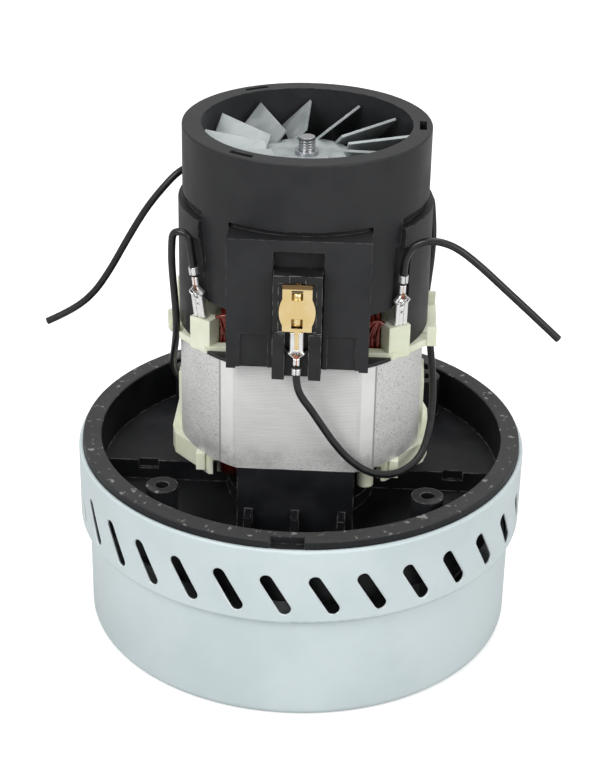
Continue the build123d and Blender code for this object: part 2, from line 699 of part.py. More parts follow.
def motor_frame():
    """Black moulded dish that carries the lower bearing, the stack and the shell's rim."""
    recess = LOWER_BEARING_RADIUS + RETAINER_MARGIN + RETAINER_EDGE_GAP
    frame = frame_dish() + platform() - platform_core()
    frame += [platform_rib(azimuth) for azimuth in PLATFORM_RIB_ANGLES]
    frame += [pillar(), half_turned(pillar())]
    frame -= cylinder(recess, frame_z - CUT_OVERRUN, lower_bearing_z)
    frame -= cylinder(LOWER_BEARING_RADIUS + BEARING_SEAT_GAP, frame_z, lower_bearing_top)
    for x, y in corner_places(boss_offset, boss_offset):
        frame += cylinder(BOSS_RADIUS, frame_z, rim_top, x, y)
        frame -= cylinder(BOSS_HOLE_RADIUS, rim_top - BOSS_HOLE_DEPTH, rim_top + CUT_OVERRUN, x, y)
    for x, y in corner_places(SCREW_X, screw_y):
        frame -= cylinder(SCREW_HOLE_RADIUS, frame_z - CUT_OVERRUN, stack_z + CUT_OVERRUN, x, y)
        frame -= cylinder(
            SCREW_HEAD_RADIUS + SCREW_HEAD_GAP, frame_z - CUT_OVERRUN, frame_z + SCREW_SINK, x, y
        )
    for x, y in retainer_screw_places():
        frame -= cylinder(
            RETAINER_SCREW_RADIUS + RUNNING_GAP, frame_z, lower_bearing_z + RETAINER_SCREW_LENGTH, x, y
        )
    for side in (-1, 1):
        frame -= block(
            side * LATCH_OFFSET - LATCH_WIDTH / 2, side * LATCH_OFFSET + LATCH_WIDTH / 2,
            PLATFORM_EDGE - CUT_OVERRUN, PLATFORM_EDGE + LATCH_DEPTH,
            platform_z - LATCH_HEIGHT, platform_z + CUT_OVERRUN,
        )
    frame -= block(
        RIM_NOTCH_OFFSET - RIM_NOTCH_WIDTH / 2, RIM_NOTCH_OFFSET + RIM_NOTCH_WIDTH / 2,
        -band_radius, -(rim_radius - RIM_NOTCH_DEPTH), band_top, rim_top + CUT_OVERRUN,
    )
    return frame


def bearing(radius, bore, width, ball_radius, count, bottom):
    """Outer ring, inner ring and balls of a deep-groove ball bearing."""
    pitch = (radius + bore) / 2
    land = ball_radius * BEARING_LAND_SHARE
    middle = bottom + width / 2
    groove = Pos(0, 0, middle) * Torus(pitch, ball_radius + RUNNING_GAP)
    outer = ring(radius, pitch + land, bottom, bottom + width) - groove
    inner = ring(pitch - land, bore, bottom, bottom + width) - groove
    ball = Pos(pitch, 0, middle) * Sphere(ball_radius)
    return outer, inner, Compound(children=[Part() + copy for copy in all_round(ball, count)])


def retainer_screw_places():
    """Places of the retainer screws, on a circle just outside the bearing."""
    circle = LOWER_BEARING_RADIUS + RETAINER_SCREW_MARGIN
    step = FULL_TURN / RETAINER_SCREW_COUNT
    return [polar(circle, step * number) for number in range(RETAINER_SCREW_COUNT)]


def bearing_retainer():
    """Sheet ring that holds the lower bearing up in its seat."""
    plate = ring(
        LOWER_BEARING_RADIUS + RETAINER_MARGIN, RETAINER_HOLE_RADIUS, retainer_z, lower_bearing_z
    )
    for x, y in retainer_screw_places():
        plate -= cylinder(
            RETAINER_SCREW_RADIUS + PUSH_GAP, retainer_z - CUT_OVERRUN, lower_bearing_z + CUT_OVERRUN, x, y
        )
    return plate


def retainer_screws():
    """Small screws driven up through the retainer."""
    screws = []
    for x, y in retainer_screw_places():
        head = cylinder(
            RETAINER_SCREW_HEAD_RADIUS, retainer_z - RETAINER_SCREW_HEAD_HEIGHT, retainer_z, x, y
        )
        shank = cylinder(
            RETAINER_SCREW_RADIUS, retainer_z, lower_bearing_z + RETAINER_SCREW_LENGTH, x, y
        )
        screws.append(Part() + (head + shank))
    return Compound(children=screws)


# Stator: stack, end frames, coils and screws

def coil_slots(bottom, top):
    """Cutters for the four coil sides, with their clearance."""
    cutters = []
    for side in (-1, 1):
        for end in (-1, 1):
            cutters.append(block(
                side * (coil_inner_x - SLOT_GAP), side * (coil_outer_x + SLOT_GAP),
                end * (coil_window_half - SLOT_GAP), end * slot_outer,
                bottom - CUT_OVERRUN, top + CUT_OVERRUN,
            ))
    return cutters


def stator_core():
    """Stack of laminations with two poles, their thin tips and the slots behind them."""
    stack = cylinder(STACK_RADIUS, stack_z, stack_top) & block(
        -STACK_HALF_WIDTH, STACK_HALF_WIDTH, -STACK_HALF_DEPTH, STACK_HALF_DEPTH, stack_z, stack_top
    )
    low = stack_z - CUT_OVERRUN
    high = stack_top + CUT_OVERRUN
    slot_inner = coil_window_half - SLOT_GAP
    tips = cylinder(stator_bore + POLE_TIP, low - CUT_OVERRUN, high + CUT_OVERRUN)
    for end in (-1, 1):
        behind = block(-coil_inner_x, coil_inner_x, end * slot_inner, end * slot_outer, low, high)
        stack -= behind - tips
        stack -= block(-SLOT_MOUTH_HALF, SLOT_MOUTH_HALF, 0, end * slot_outer, low, high)
    stack -= coil_slots(stack_z, stack_top)
    stack -= cylinder(stator_bore, low, high)
    for x, y in corner_places(SCREW_X, screw_y):
        stack -= cylinder(SCREW_HOLE_RADIUS, low, high, x, y)
    return stack


def flange_outline(inset):
    """Eight-sided outline of an end frame, drawn in by an inset."""
    quarter = [
        (flange_half_width - inset, FLANGE_SIDE_HALF),
        (flange_shoulder_x - inset, FLANGE_SHOULDER_Y),
        (flange_front_half - inset, flange_half_depth),
    ]
    left = [(-x, y) for x, y in reversed(quarter)]
    upper = quarter + left
    lower = [(x, -y) for x, y in reversed(upper)]
    return upper + lower


def frame_openings(bottom, top):
    """Cutters for the armature's bore and the coil sides in an end frame."""
    bore = cylinder(frame_bore, bottom - CUT_OVERRUN, top + CUT_OVERRUN)
    return [bore] + coil_slots(bottom, top)


def bobbin(near, far, wall_end):
    """Saddle and outer wall that carry one coil's end turn, from the flange's face outwards."""
    half = coil_window_half - COIL_WINDOW_ROUND
    saddle = block(coil_inner_x - SLOT_GAP, coil_outer_x, -half, half, near, far)
    wall_x = coil_outer_x + BOBBIN_WALL_GAP
    wall = block(wall_x, wall_x + BOBBIN_WALL, -BOBBIN_WALL_HALF, BOBBIN_WALL_HALF, near, wall_end)
    low = min(near, wall_end) - CUT_OVERRUN
    high = max(near, wall_end) + CUT_OVERRUN
    link = block(coil_outer_x, wall_x, -BOBBIN_WALL_HALF, BOBBIN_WALL_HALF, near, far)
    return saddle + wall + link - cylinder(frame_bore, low, high)


def receptacle_seat(side, end, lean):
    """Place of a push-on receptacle: its base on the post's top, leaning outwards."""
    if end < 0:
        turn = side * POST_TURN
    else:
        turn = HALF_TURN - side * POST_TURN
    lift = (RECEPTACLE_WIDTH + RECEPTACLE_DEPTH) / 2 * math.sin(math.radians(lean))
    base = Pos(
        side * (post_x + RECEPTACLE_OUT), end * (post_y + RECEPTACLE_FORWARD), post_top + lift
    )
    return base * Rot(0, side * lean, 0) * Rot(0, 0, turn)


def seat_list():
    """Name and place of each of the four receptacles on the posts."""
    return {
        "front_right": receptacle_seat(1, -1, SUPPLY_LEAN),
        "front_left": receptacle_seat(-1, -1, BRUSH_LEAD_LEAN),
        "back_left": receptacle_seat(-1, 1, SUPPLY_LEAN),
        "back_right": receptacle_seat(1, 1, BRUSH_LEAD_LEAN),
    }


def post(side, end, gap, top):
    """Terminal post, or its cutter when a gap is given."""
    turn = -side * end * POST_TURN
    width = POST_WIDTH + 2 * gap
    depth = POST_DEPTH + 2 * gap
    body = block(-width / 2, width / 2, -depth / 2, depth / 2, stack_top, top)
    return Pos(side * post_x, end * post_y, 0) * Rot(0, 0, turn) * body


def blade_pocket():
    """Pocket for the blade, in the receptacle's own frame."""
    half = BLADE_HALF_WIDTH + POCKET_GAP
    deep = BLADE_SHEET / 2 + POCKET_GAP
    return block(-half, half, -deep, deep, -BLADE_SINK - POCKET_GAP, CUT_OVERRUN)


def stator_frame_top():
    """Moulded upper end frame with posts, upright tabs, lead notches and bobbins."""
    frame = prism(flange_outline(0), stack_top, flange_top)
    frame -= frame_openings(stack_top, flange_top)
    wall_end = flange_top + BOBBIN_WALL_HEIGHT
    right = bobbin(flange_top, window_top, wall_end)
    frame += [right, half_turned(right)]
    for side, end in ((1, -1), (-1, -1), (-1, 1), (1, 1)):
        frame += post(side, end, 0, post_top)
    for seat in seat_list().values():
        frame -= seat * blade_pocket()
    for side in (-1, 1):
        tab_x = side * (STACK_HALF_WIDTH + TAB_PROUD)
        for y in (-side * FRONT_TAB_Y, side * SIDE_TAB_Y):
            frame += block(
                tab_x - TAB_WIDTH / 2, tab_x + TAB_WIDTH / 2,
                y - TAB_THICKNESS / 2, y + TAB_THICKNESS / 2, stack_top, flange_top + TAB_HEIGHT,
            )
        notch_x = side * (STACK_HALF_WIDTH + LEAD_NOTCH_PROUD)
        slit_x = side * (STACK_HALF_WIDTH + FLANGE_SLIT_PROUD)
        notch_y = side * LEAD_NOTCH_Y
        low = stack_top - CUT_OVERRUN
        high = flange_top + CUT_OVERRUN
        frame -= cylinder(LEAD_NOTCH_RADIUS, low, high, notch_x, notch_y)
        frame -= block(
            notch_x, side * flange_half_width, notch_y - LEAD_NOTCH_RADIUS,
            notch_y + LEAD_NOTCH_RADIUS, low, high,
        )
        frame -= block(
            slit_x - FLANGE_SLIT_LENGTH / 2, slit_x + FLANGE_SLIT_LENGTH / 2,
            -side * FLANGE_SLIT_Y - FLANGE_SLIT_WIDTH / 2, -side * FLANGE_SLIT_Y + FLANGE_SLIT_WIDTH / 2,
            low, high,
        )
    for x, y in corner_places(SCREW_X, screw_y):
        frame -= cylinder(COWL_BOSS_RADIUS + LOOSE_GAP, low, high, x, y)
    return frame


def side_clip():
    """Upright clip on the right side of the stack, chamfered at its top and notched."""
    inner = STACK_HALF_WIDTH
    outer = inner + SIDE_CLIP_THICKNESS
    top = stack_z + SIDE_CLIP_HEIGHT
    outline = [
        (inner, lower_flange_z), (outer, lower_flange_z),
        (outer, top - SIDE_CLIP_CHAMFER), (outer - SIDE_CLIP_CHAMFER, top), (inner, top),
    ]
    face = Plane.XZ * make_face(Polyline(*outline, close=True))
    clip = Pos(0, SIDE_CLIP_HALF, 0) * extrude(face, 2 * SIDE_CLIP_HALF)
    notch_z = stack_z + SIDE_CLIP_NOTCH_LIFT
    return clip - block(
        inner - CUT_OVERRUN, outer + CUT_OVERRUN, -SIDE_CLIP_NOTCH_HALF, SIDE_CLIP_NOTCH_HALF,
        notch_z, notch_z + SIDE_CLIP_NOTCH_HEIGHT,
    )


def stator_frame_bottom():
    """Moulded lower end frame with its skirt, side clips, feet and bobbins."""
    skirt_z = lower_flange_z - SKIRT_DEPTH
    frame = prism(flange_outline(LOWER_FRAME_INSET), lower_flange_z, stack_z)
    skirt = prism(flange_outline(LOWER_FRAME_INSET), skirt_z, lower_flange_z)
    skirt -= prism(
        flange_outline(LOWER_FRAME_INSET + SKIRT_WALL), skirt_z - CUT_OVERRUN, lower_flange_z + CUT_OVERRUN
    )
    frame += skirt
    frame -= frame_openings(lower_flange_z, stack_z)
    wall_end = lower_flange_z - BOBBIN_WALL_HEIGHT
    right = bobbin(lower_flange_z, window_bottom, wall_end)
    clip = side_clip()
    foot = cylinder(
        FOOT_ROUND_RADIUS, lower_flange_z - FOOT_ROUND_DEPTH, stack_z,
        FOOT_ROUND_X, -(flange_half_depth + FOOT_ROUND_PROUD),
    )
    frame += [right, half_turned(right), clip, half_turned(clip), foot, half_turned(foot)]
    for x, y in corner_places(FOOT_PEG_X, coil_half + FOOT_PEG_MARGIN):
        frame += block(
            x - FOOT_PEG_WIDTH / 2, x + FOOT_PEG_WIDTH / 2, y - FOOT_PEG_WIDTH / 2,
            y + FOOT_PEG_WIDTH / 2, lower_flange_z - FOOT_PEG_DEPTH, stack_z,
        )
    pillar_half = PILLAR_HALF_WIDTH + LOOSE_GAP
    high = stack_z + CUT_OVERRUN
    space = block(
        -pillar_half, pillar_half, -STACK_HALF_DEPTH, -pillar_inner + LOOSE_GAP, coil_bottom, high
    )
    frame -= [space, half_turned(space)]
    for x, y in corner_places(SCREW_X, screw_y):
        frame -= cylinder(screw_boss_radius + LOOSE_GAP, coil_bottom, high, x, y)
    return frame


def field_core():
    """Plain body of the right coil, a rounded frame round the pole."""
    middle = (coil_top + coil_bottom) / 2
    half = coil_half - wire_layer
    height = coil_top - coil_bottom - 2 * wire_layer
    outer = RectangleRounded(2 * half, height, COIL_CORNER_ROUND)
    window = RectangleRounded(2 * coil_window_half, window_top - window_bottom, COIL_WINDOW_ROUND)
    face = Plane(origin=(coil_inner_x, 0, middle), x_dir=(0, 1, 0), z_dir=(1, 0, 0))
    return extrude(face * (outer - window), COIL_DEPTH)


def wire_route():
    """Corner points of the right coil's outer layer, one loop after another."""
    half = coil_half - WIRE_RADIUS
    low = coil_bottom + WIRE_RADIUS
    high = coil_top - WIRE_RADIUS
    middle_x = coil_inner_x + COIL_DEPTH / 2
    first_x = middle_x - WIRE_PITCH * (WIRE_LOOPS - 1) / 2
    points = [(first_x - WIRE_PITCH / 2, 0, low)]
    for number in range(WIRE_LOOPS):
        x = first_x + WIRE_PITCH * number
        points += [(x, -half, low), (x, -half, high), (x, half, high), (x, half, low)]
    points.append((first_x + WIRE_PITCH * (WIRE_LOOPS - 1) + WIRE_PITCH / 2, 0, low))
    return points


def field_wire():
    """Outer layer of the right coil: one unbroken wire in flat loops with a slanted bottom run."""
    points = wire_route()
    corner = COIL_CORNER_ROUND + WIRE_SEAT_GAP + WIRE_RADIUS
    path = FilletPolyline(*points, radius=[corner] * (len(points) - 2))
    section = Plane(origin=path @ 0, z_dir=path % 0) * Circle(WIRE_RADIUS)
    wire = sweep(section, path=path)
    report_wire_gap(path)
    report_tube("field wire", wire, path, WIRE_RADIUS)
    return wire


def report_wire_gap(path):
    """Prints the least gap between loops, measured on points along the wire."""
    count = GAP_SAMPLES
    length = path.length
    apart = math.pi * COIL_CORNER_ROUND
    points = [path.position_at(number / count) for number in range(count + 1)]
    least = length
    for first in range(count):
        for second in range(first + 1, count + 1):
            if (second - first) * length / count > apart:
                least = min(least, (points[first] - points[second]).length)
    print("field wire least gap", round(least - 2 * WIRE_RADIUS, 3))


def report_tube(name, tube, path, radius):
    """Prints a tube's volume beside its section times its length."""
    expected = math.pi * radius ** 2 * path.length
    print(name, "length", round(path.length, 1), "volume", round(tube.volume, 1), "of", round(expected, 1))


def stator_screws():
    """Four long screws from under the frame up into the cowl's bosses."""
    screws = []
    head_top = frame_z + SCREW_SINK
    for x, y in corner_places(SCREW_X, screw_y):
        head = cylinder(SCREW_HEAD_RADIUS, head_top - SCREW_HEAD_HEIGHT, head_top, x, y)
        shank = cylinder(SCREW_RADIUS, head_top, stack_top + SCREW_GRIP, x, y)
        screws.append(Part() + (head + shank))
    return Compound(children=screws)


# Upper bracket

def cowl_outside():
    """Outside of the cowl, still solid: drum, tapered wall, side panels and brush blocks."""
    taper_z = drum_z - WALL_TAPER_HEIGHT
    body = turned_profile([
        (0, wall_z, 0),
        (WALL_RADIUS, wall_z, 0),
        (WALL_RADIUS, taper_z, 0),
        (DRUM_RADIUS, drum_z, 0),
        (DRUM_RADIUS, cowl_top, DRUM_EDGE_ROUND),
        (0, cowl_top, 0),
    ])
    panel = cylinder(PANEL_RADIUS, wall_z, neck_z) & wedge(
        PANEL_HALF_ANGLE, 2 * PANEL_RADIUS, wall_z - CUT_OVERRUN, neck_z + CUT_OVERRUN
    )
    front = block(-BLOCK_HALF_WIDTH, BLOCK_HALF_WIDTH, -BLOCK_FACE, 0, flange_top, block_top)
    return body + [panel, half_turned(panel), front, half_turned(front)]


def panel_skirt():
    """Thin lower part of the right side panel, down to the end frame."""
    high = wall_z + CUT_OVERRUN
    skirt = ring(PANEL_RADIUS, PANEL_RADIUS - PANEL_SKIRT_WALL, flange_top, high)
    return skirt & wedge(PANEL_HALF_ANGLE, 2 * PANEL_RADIUS, flange_top - CUT_OVERRUN, high + CUT_OVERRUN)


def block_spaces():
    """Cutters in the front block: two cores, the holder's recess and two shallow low panels."""
    low = flange_top - CUT_OVERRUN
    core_inner = RECESS_HALF_WIDTH + RECESS_SIDE_WALL
    core_outer = BLOCK_HALF_WIDTH - BLOCK_WALL
    panel_inner = RECESS_HALF_WIDTH + LOW_PANEL_GAP
    front = -BLOCK_FACE - CUT_OVERRUN
    spaces = [block(
        -RECESS_HALF_WIDTH, RECESS_HALF_WIDTH, front, -WALL_RADIUS, low, drum_z - RECESS_SHORTFALL
    )]
    for side in (-1, 1):
        core = block(
            side * core_inner, side * core_outer, -(BLOCK_FACE - BLOCK_WALL), 0,
            low, block_top - BLOCK_WALL,
        )
        spaces.append(core - cylinder(WALL_RADIUS, low - CUT_OVERRUN, block_top))
        spaces.append(block(
            side * panel_inner, side * (panel_inner + LOW_PANEL_WIDTH),
            front, -BLOCK_FACE + LOW_PANEL_DEPTH, low, flange_top + LOW_PANEL_HEIGHT,
        ))
    return spaces


def cowl_feet():
    """Foot plate, corner feet and screw bosses under the front block."""
    back = -(flange_half_depth + LOOSE_GAP)
    front = -(STACK_HALF_DEPTH - FOOT_INSET)
    plate = block(-FOOT_HALF_WIDTH, FOOT_HALF_WIDTH, front, back, stack_top, stack_top + FOOT_SHEET)
    plate = plate & cylinder(STACK_RADIUS - FOOT_INSET, stack_top, stack_top + FOOT_SHEET)
    feet = Part() + plate
    for side in (-1, 1):
        inner = side * (BLOCK_HALF_WIDTH - BLOCK_FOOT_WIDTH)
        feet += block(
            inner, side * BLOCK_HALF_WIDTH, -BLOCK_FACE, back,
            flange_top - BLOCK_FOOT_DROP, flange_top + FOOT_SHEET,
        )
        feet += cylinder(
            COWL_BOSS_RADIUS, stack_top, stack_top + SCREW_GRIP + SCREW_TIP_GAP + FOOT_SHEET,
            side * SCREW_X, -screw_y,
        )
    return feet


def bearing_hub():
    """Hub for the upper bearing, open below, on four arms."""
    low = upper_bearing_z - HUB_SKIRT
    hub = cylinder(UPPER_BEARING_RADIUS + HUB_WALL, low, drum_z + HUB_CAP)
    hub_edge = UPPER_BEARING_RADIUS + HUB_WALL / 2
    arm = block(
        hub_edge, wall_inner + ARM_WALL_BITE, -ARM_WIDTH / 2, ARM_WIDTH / 2, drum_z - ARM_HEIGHT, drum_z
    )
    arm = Rot(0, 0, ARM_TURN) * arm
    hub += all_round(arm, ARM_COUNT)
    hub -= cylinder(UPPER_BEARING_RADIUS + BEARING_SEAT_GAP, low - CUT_OVERRUN, upper_bearing_top)
    return hub - cylinder(HUB_HOLE_RADIUS, low, drum_z + HUB_CAP + CUT_OVERRUN)


def neck_groove():
    """Cutter for the groove under the drum, above the panels and the blocks."""
    groove = ring(2 * DRUM_RADIUS, NECK_RADIUS, neck_z, drum_z)
    panels = wedge(PANEL_HALF_ANGLE, 2 * DRUM_RADIUS, neck_z, drum_z)
    over_block = block(
        -BLOCK_HALF_WIDTH, BLOCK_HALF_WIDTH, -2 * DRUM_RADIUS, 2 * DRUM_RADIUS, block_top, drum_z
    )
    return (groove & panels) + (groove & half_turned(panels)) + (groove & over_block)


def tube_opening():
    """Cutter for the holder's sleeve through the front wall."""
    half = BRUSH_HALF_WIDTH + BRUSH_GAP + TUBE_WALL + TUBE_SEAT_GAP + SLEEVE_WALL + PUSH_GAP
    rise = BRUSH_HALF_HEIGHT + BRUSH_GAP + TUBE_WALL + TUBE_SEAT_GAP + SLEEVE_WALL + PUSH_GAP
    return block(-half, half, -BLOCK_FACE, -UPPER_BEARING_RADIUS, brush_z - rise, brush_z + rise)


def upper_bracket():
    """Black moulded cowl that carries the upper bearing, the brush holders and the fan."""
    cowl = cowl_outside()
    cowl -= neck_groove()
    cowl -= cylinder(wall_inner, flange_top - CUT_OVERRUN, neck_z)
    cowl -= cylinder(DRUM_BORE, neck_z - CUT_OVERRUN, cowl_top + CUT_OVERRUN)
    for space in block_spaces():
        cowl -= [space, half_turned(space)]
    skirt = panel_skirt()
    feet = cowl_feet()
    cowl += [skirt, half_turned(skirt), feet, half_turned(feet), bearing_hub()]
    opening = tube_opening()
    cowl -= [opening, half_turned(opening)]
    for x, y in corner_places(SCREW_X, screw_y):
        cowl -= cylinder(
            SCREW_PILOT_RADIUS, stack_top - CUT_OVERRUN, stack_top + SCREW_GRIP + SCREW_TIP_GAP, x, y
        )
    for side, end in ((1, -1), (-1, -1), (-1, 1), (1, 1)):
        cowl -= post(side, end, LOOSE_GAP, post_top + LOOSE_GAP)
    coil_reach = coil_half + LOOSE_GAP
    for side in (-1, 1):
        cowl -= block(
            side * (coil_inner_x - LOOSE_GAP), side * (coil_outer_x + LOOSE_GAP),
            -coil_reach, coil_reach, stack_top, coil_top + LOOSE_GAP,
        )
    for seat in seat_list().values():
        cowl -= seat * cylinder(CHANNEL_RADIUS, -CUT_OVERRUN, CHANNEL_HEIGHT)
    ring_middle = (DRUM_RADIUS + DRUM_BORE) / 2
    slot = block(
        ring_middle - RIM_SLOT_WIDTH / 2, ring_middle + RIM_SLOT_WIDTH / 2,
        -RIM_SLOT_LENGTH / 2, RIM_SLOT_LENGTH / 2, cowl_top - RIM_SLOT_DEPTH, cowl_top + CUT_OVERRUN,
    )
    for azimuth in RIM_SLOT_AZIMUTHS:
        cowl -= Rot(0, 0, azimuth) * slot
    return cowl


# Brush gear, all modelled at the front

def tube_half_width():
    """Half of the brass tube's outside width."""
    return BRUSH_HALF_WIDTH + BRUSH_GAP + TUBE_WALL


def tube_half_height():
    """Half of the brass tube's outside height."""
    return BRUSH_HALF_HEIGHT + BRUSH_GAP + TUBE_WALL


def cap_back():
    """Distance of the cap's inner face from the shaft axis."""
    return HOLDER_FACE + CAP_PROUD - CAP_SHEET


def brush_holder():
    """Moulded holder: plate, proud lower step, sleeve and the seats for tube, cap and receptacle."""
    back = WALL_RADIUS + PUSH_GAP
    bottom = brush_z - HOLDER_BOTTOM_DROP
    top = brush_z + HOLDER_TOP_RISE
    step = brush_z - HOLDER_STEP_DROP
    width = HOLDER_HALF_WIDTH
    holder = block(-width, width, -HOLDER_FACE, -back, bottom, top)
    holder += block(-width, width, -(HOLDER_FACE + HOLDER_STEP), -HOLDER_FACE, bottom, step)
    sleeve_x = tube_half_width() + TUBE_SEAT_GAP + SLEEVE_WALL
    sleeve_z = tube_half_height() + TUBE_SEAT_GAP + SLEEVE_WALL
    holder += block(
        -sleeve_x, sleeve_x, -HOLDER_FACE + CAP_FOLD, -(back - SLEEVE_REACH),
        brush_z - sleeve_z, brush_z + sleeve_z,
    )
    bore_x = tube_half_width() + TUBE_SEAT_GAP
    bore_z = tube_half_height() + TUBE_SEAT_GAP
    holder -= block(
        -bore_x, bore_x, -HOLDER_FACE - CUT_OVERRUN, -COMMUTATOR_RADIUS, brush_z - bore_z, brush_z + bore_z
    )
    seat = cap_back() - CAP_SEAT_GAP
    cap_x = CAP_HALF_WIDTH + CAP_BULGE + CAP_SEAT_GAP
    holder -= block(
        -cap_x, cap_x, -HOLDER_FACE - CUT_OVERRUN, -seat,
        brush_z - CAP_BOTTOM_DROP - CAP_SEAT_GAP, brush_z + CAP_TOP_RISE + CAP_SEAT_GAP,
    )
    holder -= block(
        -CAP_HALF_WIDTH - CAP_SEAT_GAP, CAP_HALF_WIDTH + CAP_SEAT_GAP, -HOLDER_FACE - CUT_OVERRUN,
        -(seat - CAP_FOLD), brush_z + CAP_TOP_RISE - CAP_SHEET - CAP_SEAT_GAP,
        brush_z + CAP_TOP_RISE + CAP_SEAT_GAP,
    )
    holder -= block(
        -HOLDER_NOTCH_HALF, HOLDER_NOTCH_HALF, -HOLDER_FACE - CUT_OVERRUN, -seat,
        brush_z, top + CUT_OVERRUN,
    )
    holder -= block(
        -HOLDER_SLOT_HALF, HOLDER_SLOT_HALF, -HOLDER_FACE - HOLDER_STEP - CUT_OVERRUN,
        -(HOLDER_FACE - HOLDER_SLOT_DEPTH + HOLDER_STEP), bottom - CUT_OVERRUN, brush_z - bore_z,
    )
    return holder


def brush_tube():
    """Brass tube of rectangular section that guides the brush."""
    x = tube_half_width()
    z = tube_half_height()
    outer = cap_back() - CAP_SEAT_GAP
    inner = COMMUTATOR_RADIUS + TUBE_STANDOFF
    tube = block(-x, x, -outer, -inner, brush_z - z, brush_z + z)
    return tube - block(
        -x + TUBE_WALL, x - TUBE_WALL, -outer - CUT_OVERRUN, -inner + CUT_OVERRUN,
        brush_z - z + TUBE_WALL, brush_z + z - TUBE_WALL,
    )


def carbon_brush():
    """Carbon block with its end curved to the commutator."""
    outer = COMMUTATOR_RADIUS + BRUSH_LENGTH
    brush = block(
        -BRUSH_HALF_WIDTH, BRUSH_HALF_WIDTH, -outer, 0,
        brush_z - BRUSH_HALF_HEIGHT, brush_z + BRUSH_HALF_HEIGHT,
    )
    low = brush_z - BRUSH_HALF_HEIGHT - CUT_OVERRUN
    high = brush_z + BRUSH_HALF_HEIGHT + CUT_OVERRUN
    return brush - cylinder(COMMUTATOR_RADIUS + RUNNING_GAP, low, high)


def brush_spring():
    """Coil spring between the brush and its cap."""
    near = COMMUTATOR_RADIUS + BRUSH_LENGTH + SPRING_SEAT_GAP + SPRING_WIRE_RADIUS
    far = cap_back() - SPRING_SEAT_GAP - SPRING_WIRE_RADIUS
    height = far - near
    path = Helix(height / SPRING_TURNS, height, SPRING_RADIUS)
    section = Plane(origin=path @ 0, z_dir=path % 0) * Circle(SPRING_WIRE_RADIUS)
    coil = sweep(section, path=path, is_frenet=True)
    report_tube("brush spring", coil, path, SPRING_WIRE_RADIUS)
    return Plane(origin=(0, -near, brush_z), x_dir=(1, 0, 0), z_dir=(0, -1, 0)) * coil


def brush_cap():
    """Brass strip that closes the holder: bulged middle, folded top, two windows and a tongue."""
    left = -CAP_HALF_WIDTH
    top = CAP_TOP_RISE
    bottom = -CAP_BOTTOM_DROP
    half = CAP_BULGE_HALF
    outer = CAP_HALF_WIDTH + CAP_BULGE
    edges = [
        Line((left, top), (-left, top)),
        Line((-left, top), (-left, half)),
        ThreePointArc((-left, half), (outer, 0), (-left, -half)),
        Line((-left, -half), (-left, bottom)),
        Line((-left, bottom), (left, bottom)),
        Line((left, bottom), (left, -half)),
        ThreePointArc((left, -half), (-outer, 0), (left, half)),
        Line((left, half), (left, top)),
    ]
    outline = make_face(Curve() + edges)
    for height in (CAP_UPPER_WINDOW_RISE, -CAP_LOWER_WINDOW_DROP):
        outline -= Pos(0, height) * Rectangle(CAP_WINDOW_WIDTH, CAP_WINDOW_HEIGHT)
    tongue_middle = bottom - CAP_TONGUE_LENGTH / 2
    tongue = Rectangle(2 * CAP_TONGUE_HALF, CAP_TONGUE_LENGTH)
    outline += Pos(0, tongue_middle) * tongue
    front = HOLDER_FACE + CAP_PROUD
    plate = extrude(
        Plane(origin=(0, -cap_back(), brush_z), x_dir=(1, 0, 0), z_dir=(0, -1, 0)) * outline, CAP_SHEET
    )
    fold = block(
        -CAP_HALF_WIDTH, CAP_HALF_WIDTH, -front, -(cap_back() - CAP_FOLD),
        brush_z + top - CAP_SHEET, brush_z + top,
    )
    return plate + fold


# Receptacles, blades and leads

def receptacle(body, ears, crimp, grip, slot_half, slot_sheet):
    """Push-on receptacle, base at its own origin, wire leaving upwards, seam at the front."""
    half = RECEPTACLE_WIDTH / 2
    deep = RECEPTACLE_DEPTH / 2
    shell = block(-half, half, -deep, deep, 0, body)
    mouth = block(-slot_half, slot_half, -slot_sheet / 2, slot_sheet / 2, -CUT_OVERRUN, body)
    seam = block(-RECEPTACLE_SEAM / 2, RECEPTACLE_SEAM / 2, -deep - CUT_OVERRUN, 0, -CUT_OVERRUN, body)
    neck = loft([
        Pos(0, 0, body) * Rectangle(RECEPTACLE_WIDTH, RECEPTACLE_DEPTH),
        Pos(0, 0, body + ears) * Rectangle(CRIMP_RADIUS, CRIMP_RADIUS),
    ])
    trough = block(
        -CRIMP_RADIUS / 2, CRIMP_RADIUS / 2, -deep - CUT_OVERRUN, -deep + GRIP_WALL, body, body + ears
    )
    crimp_z = body + ears
    barrel = cylinder(CRIMP_RADIUS, crimp_z, crimp_z + crimp)
    grip_z = crimp_z + crimp + CRIMP_SPACE
    grip_inner = LEAD_RADIUS + RUNNING_GAP
    grip_outer = grip_inner + GRIP_WALL
    wrap = ring(grip_outer, grip_inner, grip_z, grip_z + grip)
    wrap -= block(
        -GRIP_SEAM / 2, GRIP_SEAM / 2, -2 * grip_outer, 0, grip_z - CUT_OVERRUN, grip_z + grip + CUT_OVERRUN
    )
    strip = block(
        -CRIMP_RADIUS / 2, CRIMP_RADIUS / 2, grip_inner, grip_outer, crimp_z, grip_z + GRIP_WALL
    )
    strip += block(-CRIMP_RADIUS / 2, CRIMP_RADIUS / 2, 0, grip_outer, crimp_z, crimp_z + crimp)
    hole = Pos(0, 0, body / 2) * Rot(QUARTER_TURN, 0, 0) * Cylinder(DIMPLE_RADIUS, 2 * RECEPTACLE_DEPTH)
    return shell - mouth - seam + (neck - trough) + barrel + wrap + strip - hole


def field_receptacle():
    """Receptacle as used on the four posts."""
    return receptacle(
        RECEPTACLE_BODY, RECEPTACLE_EARS, CRIMP_LENGTH, GRIP_LENGTH,
        BLADE_HALF_WIDTH + BLADE_GAP, BLADE_SHEET + BLADE_GAP,
    )


